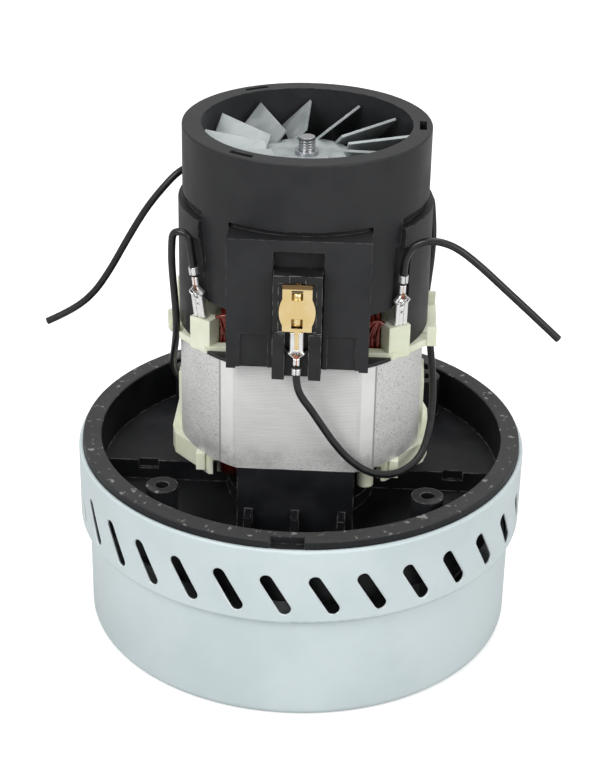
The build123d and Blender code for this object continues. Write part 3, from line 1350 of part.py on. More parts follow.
def brush_receptacle_sizes():
    """Lengths of the shorter receptacle on the brush cap's tongue."""
    share = BRUSH_BODY_SHARE
    return RECEPTACLE_BODY * share, RECEPTACLE_EARS * share, CRIMP_LENGTH * share, GRIP_LENGTH * share


def brush_receptacle_top():
    """Height where the front brush's receptacle starts, just under its cap."""
    return brush_z - CAP_BOTTOM_DROP - PUSH_GAP


def tongue_middle_y():
    """Distance of the middle of the cap's tongue from the shaft axis."""
    return cap_back() + CAP_SHEET / 2


def brush_terminal():
    """Receptacle pushed up onto the cap's tongue, its wire leaving downwards."""
    body, ears, crimp, grip = brush_receptacle_sizes()
    piece = receptacle(
        body, ears, crimp, grip, CAP_TONGUE_HALF + BLADE_GAP, CAP_SHEET + BLADE_GAP
    )
    return Pos(0, -tongue_middle_y(), brush_receptacle_top()) * Rot(0, HALF_TURN, 0) * piece


def terminal_tabs():
    """Blades that stand in the posts, inside the receptacles."""
    blade = block(
        -BLADE_HALF_WIDTH, BLADE_HALF_WIDTH, -BLADE_SHEET / 2, BLADE_SHEET / 2, -BLADE_SINK, BLADE_RISE
    )
    return Compound(children=[Part() + seat * blade for seat in seat_list().values()])


def lead_start(seat):
    """First two points of a lead, straight out of a receptacle on a post."""
    height = RECEPTACLE_BODY + RECEPTACLE_EARS + CRIMP_LENGTH
    heights = (height, height + LEAD_EXIT_RUN)
    return [tuple((seat * Pos(0, 0, place)).position) for place in heights]


def brush_lead_start(end):
    """First two points of a lead, straight down out of a brush's receptacle."""
    body, ears, crimp, _ = brush_receptacle_sizes()
    height = brush_receptacle_top() - body - ears - crimp
    return [(0, end * tongue_middle_y(), place) for place in (height, height - LEAD_EXIT_RUN)]


def lead(name, points):
    """Round flexible lead: straight runs joined by arcs as large as the runs allow."""
    corners = [Vector(*point) for point in points]
    radii = []
    for before, here, after in zip(corners, corners[1:], corners[2:]):
        turn = (here - before).get_angle(after - here)
        run = min((here - before).length, (after - here).length)
        radii.append(LEAD_RUN_SHARE * run / math.tan(math.radians(turn) / 2))
    path = FilletPolyline(*points, radius=radii)
    section = Plane(origin=path @ 0, z_dir=path % 0) * Circle(LEAD_RADIUS)
    tube = sweep(section, path=path)
    print(name, "radii", [round(radius, 1) for radius in radii])
    report_tube(name, tube, path, LEAD_RADIUS)
    return tube


def lead_pieces():
    """The two supply leads and the two brush leads."""
    seats = seat_list()
    back_right = lead_start(seats["back_right"])
    front_left = lead_start(seats["front_left"])
    return {
        "supply_lead_right": [*lead_start(seats["front_right"]), *SUPPLY_RIGHT_ROUTE],
        "supply_lead_left": [*lead_start(seats["back_left"]), *SUPPLY_LEFT_ROUTE],
        "brush_lead_front": [*brush_lead_start(-1), *BRUSH_FRONT_ROUTE, *reversed(back_right)],
        "brush_lead_back": [*brush_lead_start(1), *BRUSH_BACK_ROUTE, *reversed(front_left)],
    }


# Rotor

def rotor_shaft():
    """Stepped steel shaft with its threaded ends."""
    low = SHAFT_TIP_CLEARANCE + SHELL_WALL
    fan_radius = UPPER_BEARING_BORE - SHAFT_SEAT_GAP
    return turned_profile([
        (0, low, 0),
        (fan_radius, low, 0),
        (fan_radius, lower_bearing_z, 0),
        (LOWER_BEARING_BORE - SHAFT_SEAT_GAP, lower_bearing_z, 0),
        (LOWER_BEARING_BORE - SHAFT_SEAT_GAP, lower_bearing_top, 0),
        (SHAFT_CORE_RADIUS, lower_bearing_top, 0),
        (SHAFT_CORE_RADIUS, upper_bearing_z, 0),
        (fan_radius, upper_bearing_z, 0),
        (fan_radius, fan_z, 0),
        (THREAD_RADIUS, fan_z, 0),
        (THREAD_RADIUS, fan_z + THREAD_LENGTH, 0),
        (0, fan_z + THREAD_LENGTH, 0),
    ])


def slot_bar(width, inner, outer, bottom, top):
    """Upright bar that fills or cuts one armature slot at azimuth zero."""
    return block(inner, outer, -width / 2, width / 2, bottom, top)


def armature_core():
    """Laminated core with straight slots for the winding."""
    core = ring(ARMATURE_RADIUS, SHAFT_CORE_RADIUS + SHAFT_SEAT_GAP, stack_z, stack_top)
    cutter = slot_bar(
        ARMATURE_SLOT_WIDTH, armature_slot_floor, ARMATURE_RADIUS + CUT_OVERRUN,
        stack_z - CUT_OVERRUN, stack_top + CUT_OVERRUN,
    )
    return core - all_round(cutter, ARMATURE_SLOT_COUNT)


def armature_winding():
    """Slot bars joined by the two end turns, which narrow towards the coils' end turns."""
    outer = ARMATURE_RADIUS - END_TURN_INSET
    bore = SHAFT_CORE_RADIUS + LOOSE_GAP
    taper = END_TURN_SHOULDER + END_TURN_TAPER
    top = turned_profile([
        (bore, stack_top, 0),
        (outer, stack_top, 0),
        (outer, stack_top + END_TURN_SHOULDER, 0),
        (end_turn_neck, stack_top + taper, 0),
        (end_turn_neck, stack_top + END_TURN_TOP_LENGTH, 0),
        (bore, stack_top + END_TURN_TOP_LENGTH, 0),
    ])
    bottom = turned_profile([
        (bore, stack_z, 0),
        (bore, stack_z - END_TURN_BOTTOM_LENGTH, 0),
        (end_turn_neck, stack_z - END_TURN_BOTTOM_LENGTH, 0),
        (end_turn_neck, stack_z - taper, 0),
        (outer, stack_z - END_TURN_SHOULDER, 0),
        (outer, stack_z, 0),
    ])
    inner = armature_slot_floor + PUSH_GAP
    bar = slot_bar(
        ARMATURE_SLOT_WIDTH - 2 * PUSH_GAP, inner, ARMATURE_RADIUS - ARMATURE_BAR_SINK, stack_z, stack_top
    )
    return top + bottom + all_round(bar, ARMATURE_SLOT_COUNT)


def commutator_hub():
    """Moulded hub that holds the commutator bars."""
    return ring(
        COMMUTATOR_HUB_RADIUS - SHAFT_SEAT_GAP, SHAFT_CORE_RADIUS + SHAFT_SEAT_GAP,
        commutator_z, commutator_top,
    )


def commutator_bars():
    """Copper bars round the hub, each with a riser at its lower end."""
    sleeve = ring(COMMUTATOR_RADIUS, COMMUTATOR_HUB_RADIUS, commutator_z, commutator_top)
    sleeve += ring(RISER_RADIUS, COMMUTATOR_HUB_RADIUS, commutator_z, commutator_z + RISER_HEIGHT)
    half_step = FULL_TURN / COMMUTATOR_COUNT / 2
    gap_angle = math.degrees(COMMUTATOR_GAP / COMMUTATOR_RADIUS) / 2
    sector = wedge(half_step - gap_angle, 2 * RISER_RADIUS, commutator_z, commutator_top)
    bar = sleeve & sector
    return Compound(children=[Part() + copy for copy in all_round(bar, COMMUTATOR_COUNT)])


def fan_blade():
    """Flat blade tilted about its radius, longer and taller at the tip."""
    outline = [
        (FAN_BLADE_ROOT, FAN_ROOT_UP), (fan_tip_radius, FAN_TIP_UP),
        (fan_tip_radius, -FAN_TIP_DOWN), (FAN_BLADE_ROOT, -FAN_ROOT_DOWN),
    ]
    tilt = math.radians(FAN_BLADE_TILT)
    normal = (0, -math.sin(tilt), -math.cos(tilt))
    plane = Plane(origin=(0, 0, fan_z + FAN_BLADE_LIFT), x_dir=(1, 0, 0), z_dir=normal)
    return extrude(plane * make_face(Polyline(*outline, close=True)), FAN_SHEET / 2, both=True)


def cooling_fan():
    """Pressed sheet fan: flat disc, tilted blades and a round relief beside each root."""
    disc = ring(FAN_DISC_RADIUS, THREAD_RADIUS + PUSH_GAP, fan_z, fan_z + FAN_SHEET)
    relief = cylinder(
        FAN_RELIEF_RADIUS, fan_z - CUT_OVERRUN, fan_z + FAN_SHEET + CUT_OVERRUN, FAN_DISC_RADIUS
    )
    disc -= all_round(Rot(0, 0, FAN_BLADE_START - FAN_RELIEF_TURN) * relief, FAN_BLADE_COUNT)
    blade = Rot(0, 0, FAN_BLADE_START) * fan_blade()
    return disc + all_round(blade, FAN_BLADE_COUNT)


def fan_nut():
    """Low round nut that clamps the cooling fan."""
    low = fan_z + FAN_SHEET
    return ring(FAN_NUT_RADIUS, THREAD_RADIUS + SHAFT_SEAT_GAP, low, low + FAN_NUT_HEIGHT)


def impeller_washers():
    """Thick washers that clamp each impeller disc from both sides."""
    washers = []
    faces = (
        first_disc_z - WASHER_SHEET, first_disc_top, second_disc_z - WASHER_SHEET, second_disc_top
    )
    for face in faces:
        washers.append(Part() + ring(WASHER_RADIUS, UPPER_BEARING_BORE, face, face + WASHER_SHEET))
    return Compound(children=washers)


def impeller_spacers():
    """Sleeves between the impellers and up to the lower bearing."""
    between = ring(
        SPACER_RADIUS, UPPER_BEARING_BORE, first_disc_top + WASHER_SHEET, second_disc_z - WASHER_SHEET
    )
    above = ring(SPACER_RADIUS, UPPER_BEARING_BORE, second_disc_top + WASHER_SHEET, lower_bearing_z)
    return Compound(children=[Part() + between, Part() + above])


def impeller_nut():
    """Nut that clamps the impellers against the lower bearing."""
    top = first_disc_z - WASHER_SHEET
    return hex_nut(IMPELLER_NUT_FLATS, UPPER_BEARING_BORE, top - IMPELLER_NUT_HEIGHT, IMPELLER_NUT_HEIGHT)


def build_pieces():
    """Every node of the part, by name."""
    lower_outer, lower_inner, lower_balls = bearing(
        LOWER_BEARING_RADIUS, LOWER_BEARING_BORE, LOWER_BEARING_WIDTH,
        LOWER_BALL_RADIUS, LOWER_BALL_COUNT, lower_bearing_z,
    )
    upper_outer, upper_inner, upper_balls = bearing(
        UPPER_BEARING_RADIUS, UPPER_BEARING_BORE, UPPER_BEARING_WIDTH,
        UPPER_BALL_RADIUS, UPPER_BALL_COUNT, upper_bearing_z,
    )
    core = field_core()
    wire = field_wire()
    pieces = {
        "fan_case": fan_case(),
        "stage_plate": stage_plate(),
        "return_guide": return_guide(),
        "motor_frame": motor_frame(),
        "lower_bearing_outer": lower_outer,
        "lower_bearing_inner": lower_inner,
        "lower_bearing_balls": lower_balls,
        "upper_bearing_outer": upper_outer,
        "upper_bearing_inner": upper_inner,
        "upper_bearing_balls": upper_balls,
        "bearing_retainer": bearing_retainer(),
        "retainer_screws": retainer_screws(),
        "stator_core": stator_core(),
        "stator_frame_top": stator_frame_top(),
        "stator_frame_bottom": stator_frame_bottom(),
        "field_core_right": core,
        "field_core_left": half_turned(core),
        "field_wire_right": wire,
        "field_wire_left": half_turned(wire),
        "stator_screws": stator_screws(),
        "upper_bracket": upper_bracket(),
        "terminal_tabs": terminal_tabs(),
        "rotor_shaft": rotor_shaft(),
        "armature_core": armature_core(),
        "armature_winding": armature_winding(),
        "commutator_hub": commutator_hub(),
        "commutator_bars": commutator_bars(),
        "cooling_fan": cooling_fan(),
        "fan_nut": fan_nut(),
        "fan_spacer": ring(FAN_SPACER_RADIUS, UPPER_BEARING_BORE, upper_bearing_top, fan_z),
        "first_impeller_shroud": ring(impeller_radius, eye_radius, first_shroud_z, first_blade_z),
        "first_impeller_blades": impeller_blades(first_blade_z, FIRST_BLADE_HEIGHT),
        "first_impeller_disc": ring(impeller_radius, UPPER_BEARING_BORE, first_disc_z, first_disc_top),
        "second_impeller_shroud": ring(impeller_radius, eye_radius, second_shroud_z, second_blade_z),
        "second_impeller_blades": impeller_blades(second_blade_z, SECOND_BLADE_HEIGHT),
        "second_impeller_disc": ring(impeller_radius, UPPER_BEARING_BORE, second_disc_z, second_disc_top),
        "impeller_washers": impeller_washers(),
        "impeller_spacers": impeller_spacers(),
        "impeller_nut": impeller_nut(),
    }
    front_pieces = {
        "brush_holder": brush_holder(),
        "brush_tube": brush_tube(),
        "brush_cap": brush_cap(),
        "brush_spring": brush_spring(),
        "brush_terminal": brush_terminal(),
        "carbon_brush": carbon_brush(),
    }
    for name, shape in front_pieces.items():
        pieces[name + "_front"] = shape
        pieces[name + "_back"] = half_turned(shape)
    for place, seat in seat_list().items():
        pieces["field_terminal_" + place] = seat * field_receptacle()
    for name, points in lead_pieces().items():
        pieces[name] = lead(name, points)
    return pieces


for node, piece in build_pieces().items():
    export_step(piece, "parts/" + node + ".step")
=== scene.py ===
import math

import bpy
import numpy as np
from mathutils import Matrix, Vector


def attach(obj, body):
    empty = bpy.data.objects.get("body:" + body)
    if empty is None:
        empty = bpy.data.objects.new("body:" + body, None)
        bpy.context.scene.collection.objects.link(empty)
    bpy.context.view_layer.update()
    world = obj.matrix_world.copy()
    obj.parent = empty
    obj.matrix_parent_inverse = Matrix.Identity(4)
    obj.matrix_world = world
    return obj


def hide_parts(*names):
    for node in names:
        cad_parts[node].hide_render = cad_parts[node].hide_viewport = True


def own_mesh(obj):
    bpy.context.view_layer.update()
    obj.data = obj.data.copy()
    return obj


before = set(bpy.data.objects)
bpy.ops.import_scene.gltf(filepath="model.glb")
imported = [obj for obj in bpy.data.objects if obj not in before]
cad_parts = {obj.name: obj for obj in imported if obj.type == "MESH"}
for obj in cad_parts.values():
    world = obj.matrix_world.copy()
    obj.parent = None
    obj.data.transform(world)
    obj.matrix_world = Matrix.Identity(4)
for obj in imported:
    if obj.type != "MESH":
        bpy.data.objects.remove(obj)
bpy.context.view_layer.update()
scene = bpy.context.scene
scene.view_settings.view_transform = "Standard"


# Camera: a long lens slightly above the motor, turned a few degrees to its right,
# with the small roll of a camera held by hand.
CAMERA_PLACE = (0.02243, -0.52995, 0.35118)
CAMERA_YAW = math.radians(2.495)
CAMERA_PITCH = math.radians(27.183)
CAMERA_ROLL = math.radians(1.131)
CAMERA_LENS = 86.4


def camera_matrix():
    """Columns are the picture's right, its up and the way back, turned by yaw, pitch, then roll."""
    forward = Vector((
        -math.sin(CAMERA_YAW) * math.cos(CAMERA_PITCH),
        math.cos(CAMERA_YAW) * math.cos(CAMERA_PITCH),
        -math.sin(CAMERA_PITCH),
    ))
    level = Vector((math.cos(CAMERA_YAW), math.sin(CAMERA_YAW), 0.0))
    upward = level.cross(forward)
    right = math.cos(CAMERA_ROLL) * level + math.sin(CAMERA_ROLL) * upward
    up = math.cos(CAMERA_ROLL) * upward - math.sin(CAMERA_ROLL) * level
    turned = Matrix((right, up, -forward)).transposed().to_4x4()
    return Matrix.Translation(CAMERA_PLACE) @ turned


camera = bpy.data.objects.new("camera", bpy.data.cameras.new("camera"))
camera.data.sensor_width = 36.0
camera.data.lens = CAMERA_LENS
camera.data.clip_start = 0.01
camera.data.clip_end = 20.0
camera.matrix_world = camera_matrix()
scene.collection.objects.link(camera)
scene.camera = camera


# Leads: flexible copper strands in a black insulation 2.3 mm across. Two end bare outside
# the motor, and two run from the brush holders round the stack to the field terminals.
LEAD_DIAMETER = 0.0023
# Each lead's length, what its far end is, and the points that steer its route.
LEADS = {
    "supply_lead_right": (0.0698, "bare", (
        (0.03043, -0.0239, 0.12645), (0.03051, -0.0239, 0.13095), (0.031, -0.0245, 0.136),
        (0.0336, -0.0247, 0.1398), (0.0386, -0.0248, 0.1414), (0.0454, -0.0248, 0.1396),
        (0.0528, -0.0246, 0.1338), (0.0604, -0.0244, 0.1267), (0.0691, -0.0242, 0.1187),
        (0.0779, -0.024, 0.1104),
    )),
    "supply_lead_left": (0.0964, "bare", (
        (-0.03043, 0.0239, 0.12645), (-0.03051, 0.0239, 0.13095), (-0.0306, 0.0258, 0.1382),
        (-0.0331, 0.0264, 0.1419), (-0.0375, 0.0248, 0.1436), (-0.0418, 0.0222, 0.1422),
        (-0.0473, 0.0206, 0.1362), (-0.0524, 0.02, 0.1294), (-0.0581, 0.02, 0.1195),
        (-0.0643, 0.02, 0.1079), (-0.0701, 0.02, 0.0992), (-0.0775, 0.02, 0.093),
        (-0.0855, 0.02, 0.0889),
    )),
    "brush_lead_front": (0.1714, "object", (
        (0.0, -0.04365, 0.10761), (0.0, -0.04365, 0.10311), (0.001, -0.0432, 0.0982),
        (0.0046, -0.0418, 0.0924), (0.0082, -0.0406, 0.086), (0.0122, -0.0399, 0.0796),
        (0.017, -0.039, 0.0736), (0.0236, -0.0372, 0.0684), (0.0316, -0.0315, 0.0656),
        (0.0382, -0.0235, 0.0668), (0.0409, -0.016, 0.0716), (0.042, -0.008, 0.0785),
        (0.0416, 0.0, 0.0856), (0.0406, 0.007, 0.092), (0.0394, 0.0129, 0.0984),
        (0.0386, 0.0152, 0.1044), (0.0392, 0.017, 0.1106), (0.0399, 0.0184, 0.1176),
        (0.0401, 0.0198, 0.1246), (0.0396, 0.0214, 0.1312), (0.0388, 0.0226, 0.1374),
        (0.0339, 0.0239, 0.1372), (0.03236, 0.0239, 0.13114), (0.03181, 0.0239, 0.12667),
    )),
    "brush_lead_back": (0.1769, "object", (
        (0.0, 0.04365, 0.10761), (0.0, 0.04365, 0.10311), (-0.001, 0.0432, 0.0982),
        (-0.0046, 0.0418, 0.0924), (-0.0082, 0.0406, 0.086), (-0.0122, 0.0399, 0.0796),
        (-0.017, 0.039, 0.0736), (-0.0236, 0.0372, 0.0684), (-0.0316, 0.0315, 0.0656),
        (-0.0382, 0.0235, 0.0668), (-0.0409, 0.016, 0.0716), (-0.042, 0.008, 0.0785),
        (-0.0416, 0.0, 0.0856), (-0.0405, -0.0069, 0.092), (-0.0393, -0.0126, 0.0984),
        (-0.0385, -0.0152, 0.105), (-0.0385, -0.0166, 0.1122), (-0.0389, -0.0178, 0.12),
        (-0.0392, -0.0194, 0.128), (-0.039, -0.021, 0.1346), (-0.0384, -0.0222, 0.1404),
        (-0.0336, -0.0239, 0.1402), (-0.0329, -0.0239, 0.135), (-0.03236, -0.0239, 0.13114),
        (-0.03181, -0.0239, 0.12667),
    )),
}


def new_group(name, inputs, outputs):
    """Empty shader node group with named sockets, and its two end nodes."""
    tree = bpy.data.node_groups.new(name, "ShaderNodeTree")
    for label, kind, value in inputs:
        socket = tree.interface.new_socket(label, in_out="INPUT", socket_type=kind)
        if value is not None:
            socket.default_value = value
    for label, kind in outputs:
        tree.interface.new_socket(label, in_out="OUTPUT", socket_type=kind)
    return tree, tree.nodes.new("NodeGroupInput"), tree.nodes.new("NodeGroupOutput")


def put(tree, kind, values=(), **settings):
    """Adds a node, sets its properties, then sets or links its inputs by name or number."""
    node = tree.nodes.new(kind)
    for key, value in settings.items():
        setattr(node, key, value)
    for key, value in dict(values).items():
        if isinstance(value, bpy.types.NodeSocket):
            tree.links.new(value, node.inputs[key])
        else:
            node.inputs[key].default_value = value
    return node


def noise(tree, place, scale, detail, roughness=0.5):
    """Value that wanders about a half: noise of a scale, with finer layers of it as the detail says."""
    return put(tree, "ShaderNodeTexNoise", {
        "Vector": place, "Scale": scale, "Detail": detail, "Roughness": roughness,
    }).outputs["Fac"]


def ramp(tree, value, start, end, kind="SMOOTHSTEP"):
    """Goes from 0 to 1, smoothly or in a straight line, as a value goes from the start to the end."""
    return put(tree, "ShaderNodeMapRange", {
        "Value": value, "From Min": start, "From Max": end,
    }, interpolation_type=kind).outputs["Result"]


def maths(tree, operation, *values, clamp=False):
    """Result of one operation on one, two or three values, each a number or a socket."""
    return put(
        tree, "ShaderNodeMath", dict(enumerate(values)), operation=operation, use_clamp=clamp,
    ).outputs["Value"]


def mottle_group():
    """Cloudy mask: noise at a scale, stretched between a low and a high level."""
    tree, start, end = new_group("mottle", [
        ("Vector", "NodeSocketVector", None), ("Scale", "NodeSocketFloat", 200.0),
        ("Low", "NodeSocketFloat", 0.35), ("High", "NodeSocketFloat", 0.65),
    ], [("Mask", "NodeSocketFloat")])
    clouds = noise(tree, start.outputs["Vector"], start.outputs["Scale"], 5.0, 0.6)
    mask = ramp(tree, clouds, start.outputs["Low"], start.outputs["High"])
    tree.links.new(mask, end.inputs["Mask"])
    return tree


def edge_group():
    """Mask of the edges: 1 where the cosine of the rounded and the true normal is low, broken by noise."""
    flat, sharp = 0.995, 0.80
    spared, rubbed = 0.42, 0.60
    tree, start, end = new_group("edge wear", [
        ("Vector", "NodeSocketVector", None), ("Radius", "NodeSocketFloat", 0.0004),
        ("Scale", "NodeSocketFloat", 600.0), ("Amount", "NodeSocketFloat", 1.0),
    ], [("Mask", "NodeSocketFloat"), ("Normal", "NodeSocketVector")])
    rounded = put(tree, "ShaderNodeBevel", {"Radius": start.outputs["Radius"]}, samples=6)
    geometry = put(tree, "ShaderNodeNewGeometry")
    cosine = put(tree, "ShaderNodeVectorMath", {
        0: rounded.outputs["Normal"], 1: geometry.outputs["Normal"],
    }, operation="DOT_PRODUCT").outputs["Value"]
    specks = noise(tree, start.outputs["Vector"], start.outputs["Scale"], 4.0)
    broken = maths(
        tree, "MULTIPLY", ramp(tree, cosine, flat, sharp), ramp(tree, specks, spared, rubbed, "LINEAR"),
    )
    mask = maths(tree, "MULTIPLY", broken, start.outputs["Amount"], clamp=True)
    tree.links.new(mask, end.inputs["Mask"])
    tree.links.new(rounded.outputs["Normal"], end.inputs["Normal"])
    return tree


def grain_group():
    """Fine surface texture: noise of one scale lifts the normal it is given."""
    tree, start, end = new_group("grain", [
        ("Vector", "NodeSocketVector", None), ("Scale", "NodeSocketFloat", 1500.0),
        ("Depth", "NodeSocketFloat", 0.00002), ("Normal", "NodeSocketVector", None),
    ], [("Normal", "NodeSocketVector")])
    bump = put(tree, "ShaderNodeBump", {
        "Height": noise(tree, start.outputs["Vector"], start.outputs["Scale"], 3.0),
        "Distance": start.outputs["Depth"], "Normal": start.outputs["Normal"],
    })
    tree.links.new(bump.outputs["Normal"], end.inputs["Normal"])
    return tree


MOTTLE = mottle_group()
EDGE = edge_group()
GRAIN = grain_group()


def blend_colour(tree, mask, first, second, kind="MIX"):
    """Colour that goes from the first to the second, or to their product, as the mask goes from 0 to 1."""
    ends = [
        colour if isinstance(colour, bpy.types.NodeSocket) else (*colour, 1.0)
        for colour in (first, second)
    ]
    # The Mix node's inputs 6 and 7 are its two colours, and its output 2 is their blend.
    return put(tree, "ShaderNodeMix", {
        0: mask, 6: ends[0], 7: ends[1],
    }, data_type="RGBA", blend_type=kind).outputs[2]


def blend_value(tree, mask, first, second):
    """Value that goes from the first to the second as the mask goes from 0 to 1."""
    return put(tree, "ShaderNodeMapRange", {
        "Value": mask, "To Min": first, "To Max": second,
    }).outputs["Result"]


def surface(name, colour, tint, worn, roughness, metallic=0.0, coat=0.0,
            cloud=60.0, edge_radius=0.0003, wear=0.5, wear_scale=500.0,
            grain=1500.0, grain_depth=0.00002, specular=0.5, stretch=(1.0, 1.0, 1.0)):
    """Finish with clouds of a tint, worn edges of a third colour and a fine grain."""
    made = bpy.data.materials.new(name)
    made.use_nodes = True
    tree = made.node_tree
    shader = tree.nodes["Principled BSDF"]
    place = put(tree, "ShaderNodeTexCoord").outputs["Object"]
    place = put(tree, "ShaderNodeMapping", {"Vector": place, "Scale": stretch}).outputs["Vector"]
    clouds = put(tree, "ShaderNodeGroup", {"Vector": place, "Scale": cloud}, node_tree=MOTTLE)
    edges = put(tree, "ShaderNodeGroup", {
        "Vector": place, "Radius": edge_radius, "Scale": wear_scale, "Amount": wear,
    }, node_tree=EDGE)
    fine = put(tree, "ShaderNodeGroup", {
        "Vector": place, "Normal": edges.outputs["Normal"], "Scale": grain, "Depth": grain_depth,
    }, node_tree=GRAIN)
    base = blend_colour(tree, clouds.outputs["Mask"], colour, tint)
    base = blend_colour(tree, edges.outputs["Mask"], base, worn)
    tree.links.new(base, shader.inputs["Base Color"])
    rough = blend_value(tree, clouds.outputs["Mask"], *roughness)
    tree.links.new(rough, shader.inputs["Roughness"])
    tree.links.new(fine.outputs["Normal"], shader.inputs["Normal"])
    shader.inputs["Metallic"].default_value = metallic
    shader.inputs["Coat Weight"].default_value = coat
    shader.inputs["Coat Roughness"].default_value = 0.15
    shader.inputs["Specular IOR Level"].default_value = specular
    return made


insulation = surface(
    "lead insulation", (0.008, 0.008, 0.009), (0.014, 0.014, 0.015), (0.05, 0.05, 0.05),
    (0.28, 0.40), cloud=300.0, wear=0.0, grain=900.0, grain_depth=0.00002, coat=0.08, specular=0.4,
)


def lead_curve(name, points):
    """Round cord on a smooth NURBS line of order three whose control points are the route's."""
    curve = bpy.data.curves.new(name, "CURVE")
    curve.dimensions = "3D"
    curve.bevel_depth = LEAD_DIAMETER / 2
    curve.bevel_resolution = 5
    curve.resolution_u = 10
    curve.use_fill_caps = True
    spline = curve.splines.new("NURBS")
    spline.points.add(len(points) - 1)
    spline.points.foreach_set("co", np.c_[np.array(points), np.ones(len(points))].ravel())
    spline.order_u = 3
    spline.use_endpoint_u = True
    cord = bpy.data.objects.new(name + "_cord", curve)
    scene.collection.objects.link(cord)
    return cord


for name, (length, far_end, points) in LEADS.items():
    cord = lead_curve(name, points)
    cord.data.materials.append(insulation)
    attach(cord, "motor")
    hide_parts(name)


# Studio: a white floor and backdrop with three soft lamps. The white is what the camera sees;
# the object is lit and mirrored by a softer level, and its shadow stays on the floor.
FLOOR_SIZE = 6.0
FLOOR_GREY = (0.62, 0.62, 0.62, 1.0)
FLOOR_WHITE = (0.80, 0.80, 0.80, 1.0)
FLOOR_GLOW = 0.42
WORLD_LEVEL = 0.62
WHITE = (1.0, 1.0, 1.0, 1.0)
# Each lamp's place, the point it faces, its side and its power.
LAMPS = {
    "key_lamp": ((-0.55, -0.75, 0.85), (0.0, 0.0, 0.07), 0.55, 6.5),
    "fill_lamp": ((0.75, -0.65, 0.55), (0.0, 0.0, 0.07), 0.60, 3.6),
    "top_lamp": ((0.05, 0.25, 1.05), (0.0, 0.0, 0.10), 0.55, 4.0),
}


def seen_directly(tree):
    """The greater of two flags: 1 for a ray from the camera or through a clear piece, else 0."""
    path = put(tree, "ShaderNodeLightPath")
    return maths(tree, "MAXIMUM", path.outputs["Is Camera Ray"], path.outputs["Is Transmission Ray"])


def studio_world():
    """White where it is seen directly, a softer level for the light itself and for reflections."""
    world = bpy.data.worlds.new("studio")
    world.use_nodes = True
    tree = world.node_tree
    background = tree.nodes["Background"]
    background.inputs["Color"].default_value = WHITE
    level = blend_value(tree, seen_directly(tree), WORLD_LEVEL, 1.0)
    tree.links.new(level, background.inputs["Strength"])
    scene.world = world


def floor_material():
    """Grey diffuse floor that is paler and glows where it is seen directly, and keeps the shadow."""
    made = bpy.data.materials.new("studio floor")
    made.use_nodes = True
    tree = made.node_tree
    tree.nodes.remove(tree.nodes["Principled BSDF"])
    grey = put(tree, "ShaderNodeBsdfDiffuse", {"Color": FLOOR_GREY})
    white = put(tree, "ShaderNodeBsdfDiffuse", {"Color": FLOOR_WHITE})
    glow = put(tree, "ShaderNodeEmission", {"Color": WHITE, "Strength": FLOOR_GLOW})
    bright = put(tree, "ShaderNodeAddShader", {0: white.outputs[0], 1: glow.outputs[0]})
    mix = put(tree, "ShaderNodeMixShader", {
        0: seen_directly(tree), 1: grey.outputs[0], 2: bright.outputs[0],
    })
    tree.links.new(mix.outputs[0], tree.nodes["Material Output"].inputs["Surface"])
    return made


def lamp(name, place, aim, size, power):
    """Square soft lamp at a place, facing a point."""
    light = bpy.data.lights.new(name, "AREA")
    light.size = size
    light.energy = power
    made = bpy.data.objects.new(name, light)
    turn = (Vector(aim) - Vector(place)).to_track_quat("-Z", "Y")
    made.matrix_world = Matrix.Translation(place) @ turn.to_matrix().to_4x4()
    scene.collection.objects.link(made)


studio_world()
half = FLOOR_SIZE / 2
corners = [(-half, -half, 0.0), (half, -half, 0.0), (half, half, 0.0), (-half, half, 0.0)]
floor_mesh = bpy.data.meshes.new("studio_floor")
floor_mesh.from_pydata(corners, [], [(0, 1, 2, 3)])
floor_mesh.materials.append(floor_material())
floor = bpy.data.objects.new("studio_floor", floor_mesh)
scene.collection.objects.link(floor)
for name, (place, aim, size, power) in LAMPS.items():
    lamp(name, place, aim, size, power)


# Fan case: cup drawn from steel sheet, the mouth rolled over the motor frame's flange, then
# enamelled pale blue-grey. The sheet of its band is turned over at the edge of each louvre
# into a bead round each slot, whose paler enamel is a painted highlight, like the slot rims.
# The pale colour on the case's edges is partly painted highlight, on the louvre rims, and partly wear, on
# the top edge.
enamel = surface(
    "case enamel", (0.525, 0.605, 0.62), (0.58, 0.66, 0.675), (0.90, 0.93, 0.93),
    (0.32, 0.44), cloud=25.0, edge_radius=0.0006, wear=1.0, wear_scale=120.0,
    grain=420.0, grain_depth=0.00004, coat=0.12,
)
# Painted highlight: the bead's enamel is paler than the case's, for the light caught on the slot rims.
lip_highlight_enamel = surface(
    "lip highlight enamel", (0.66, 0.73, 0.745), (0.76, 0.82, 0.83), (0.97, 0.98, 0.98),
    (0.18, 0.28), cloud=140.0, wear=0.0, coat=0.5, grain=420.0, grain_depth=0.00001,
)
LOUVRE = {
    "count": 31, "start": -92.9, "slant": 120.5, "half_length": 0.0055, "half_width": 0.00225,
    "height": 0.0458, "radius": 0.07166, "bead": 0.00033,
}


def dress(nodes, material):
    """Gives CAD nodes a finish."""
    for node in nodes:
        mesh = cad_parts[node].data
        mesh.materials.clear()
        mesh.materials.append(material)


def tube_points(path, radius, sides):
    """Grid round a path: at each point a ring of the radius across it, clockwise from ahead."""
    along = np.gradient(path, axis=0)
    along /= np.linalg.norm(along, axis=1)[:, None]
    helper = np.where(np.abs(along[:, :1]) < 0.9, [[1.0, 0.0, 0.0]], [[0.0, 1.0, 0.0]])
    first = np.cross(along, helper)
    first /= np.linalg.norm(first, axis=1)[:, None]
    second = np.cross(first, along)
    angle = np.linspace(0.0, 2 * math.pi, sides, endpoint=False)[None, :, None]
    return path[:, None] + radius * (np.cos(angle) * first[:, None] + np.sin(angle) * second[:, None])


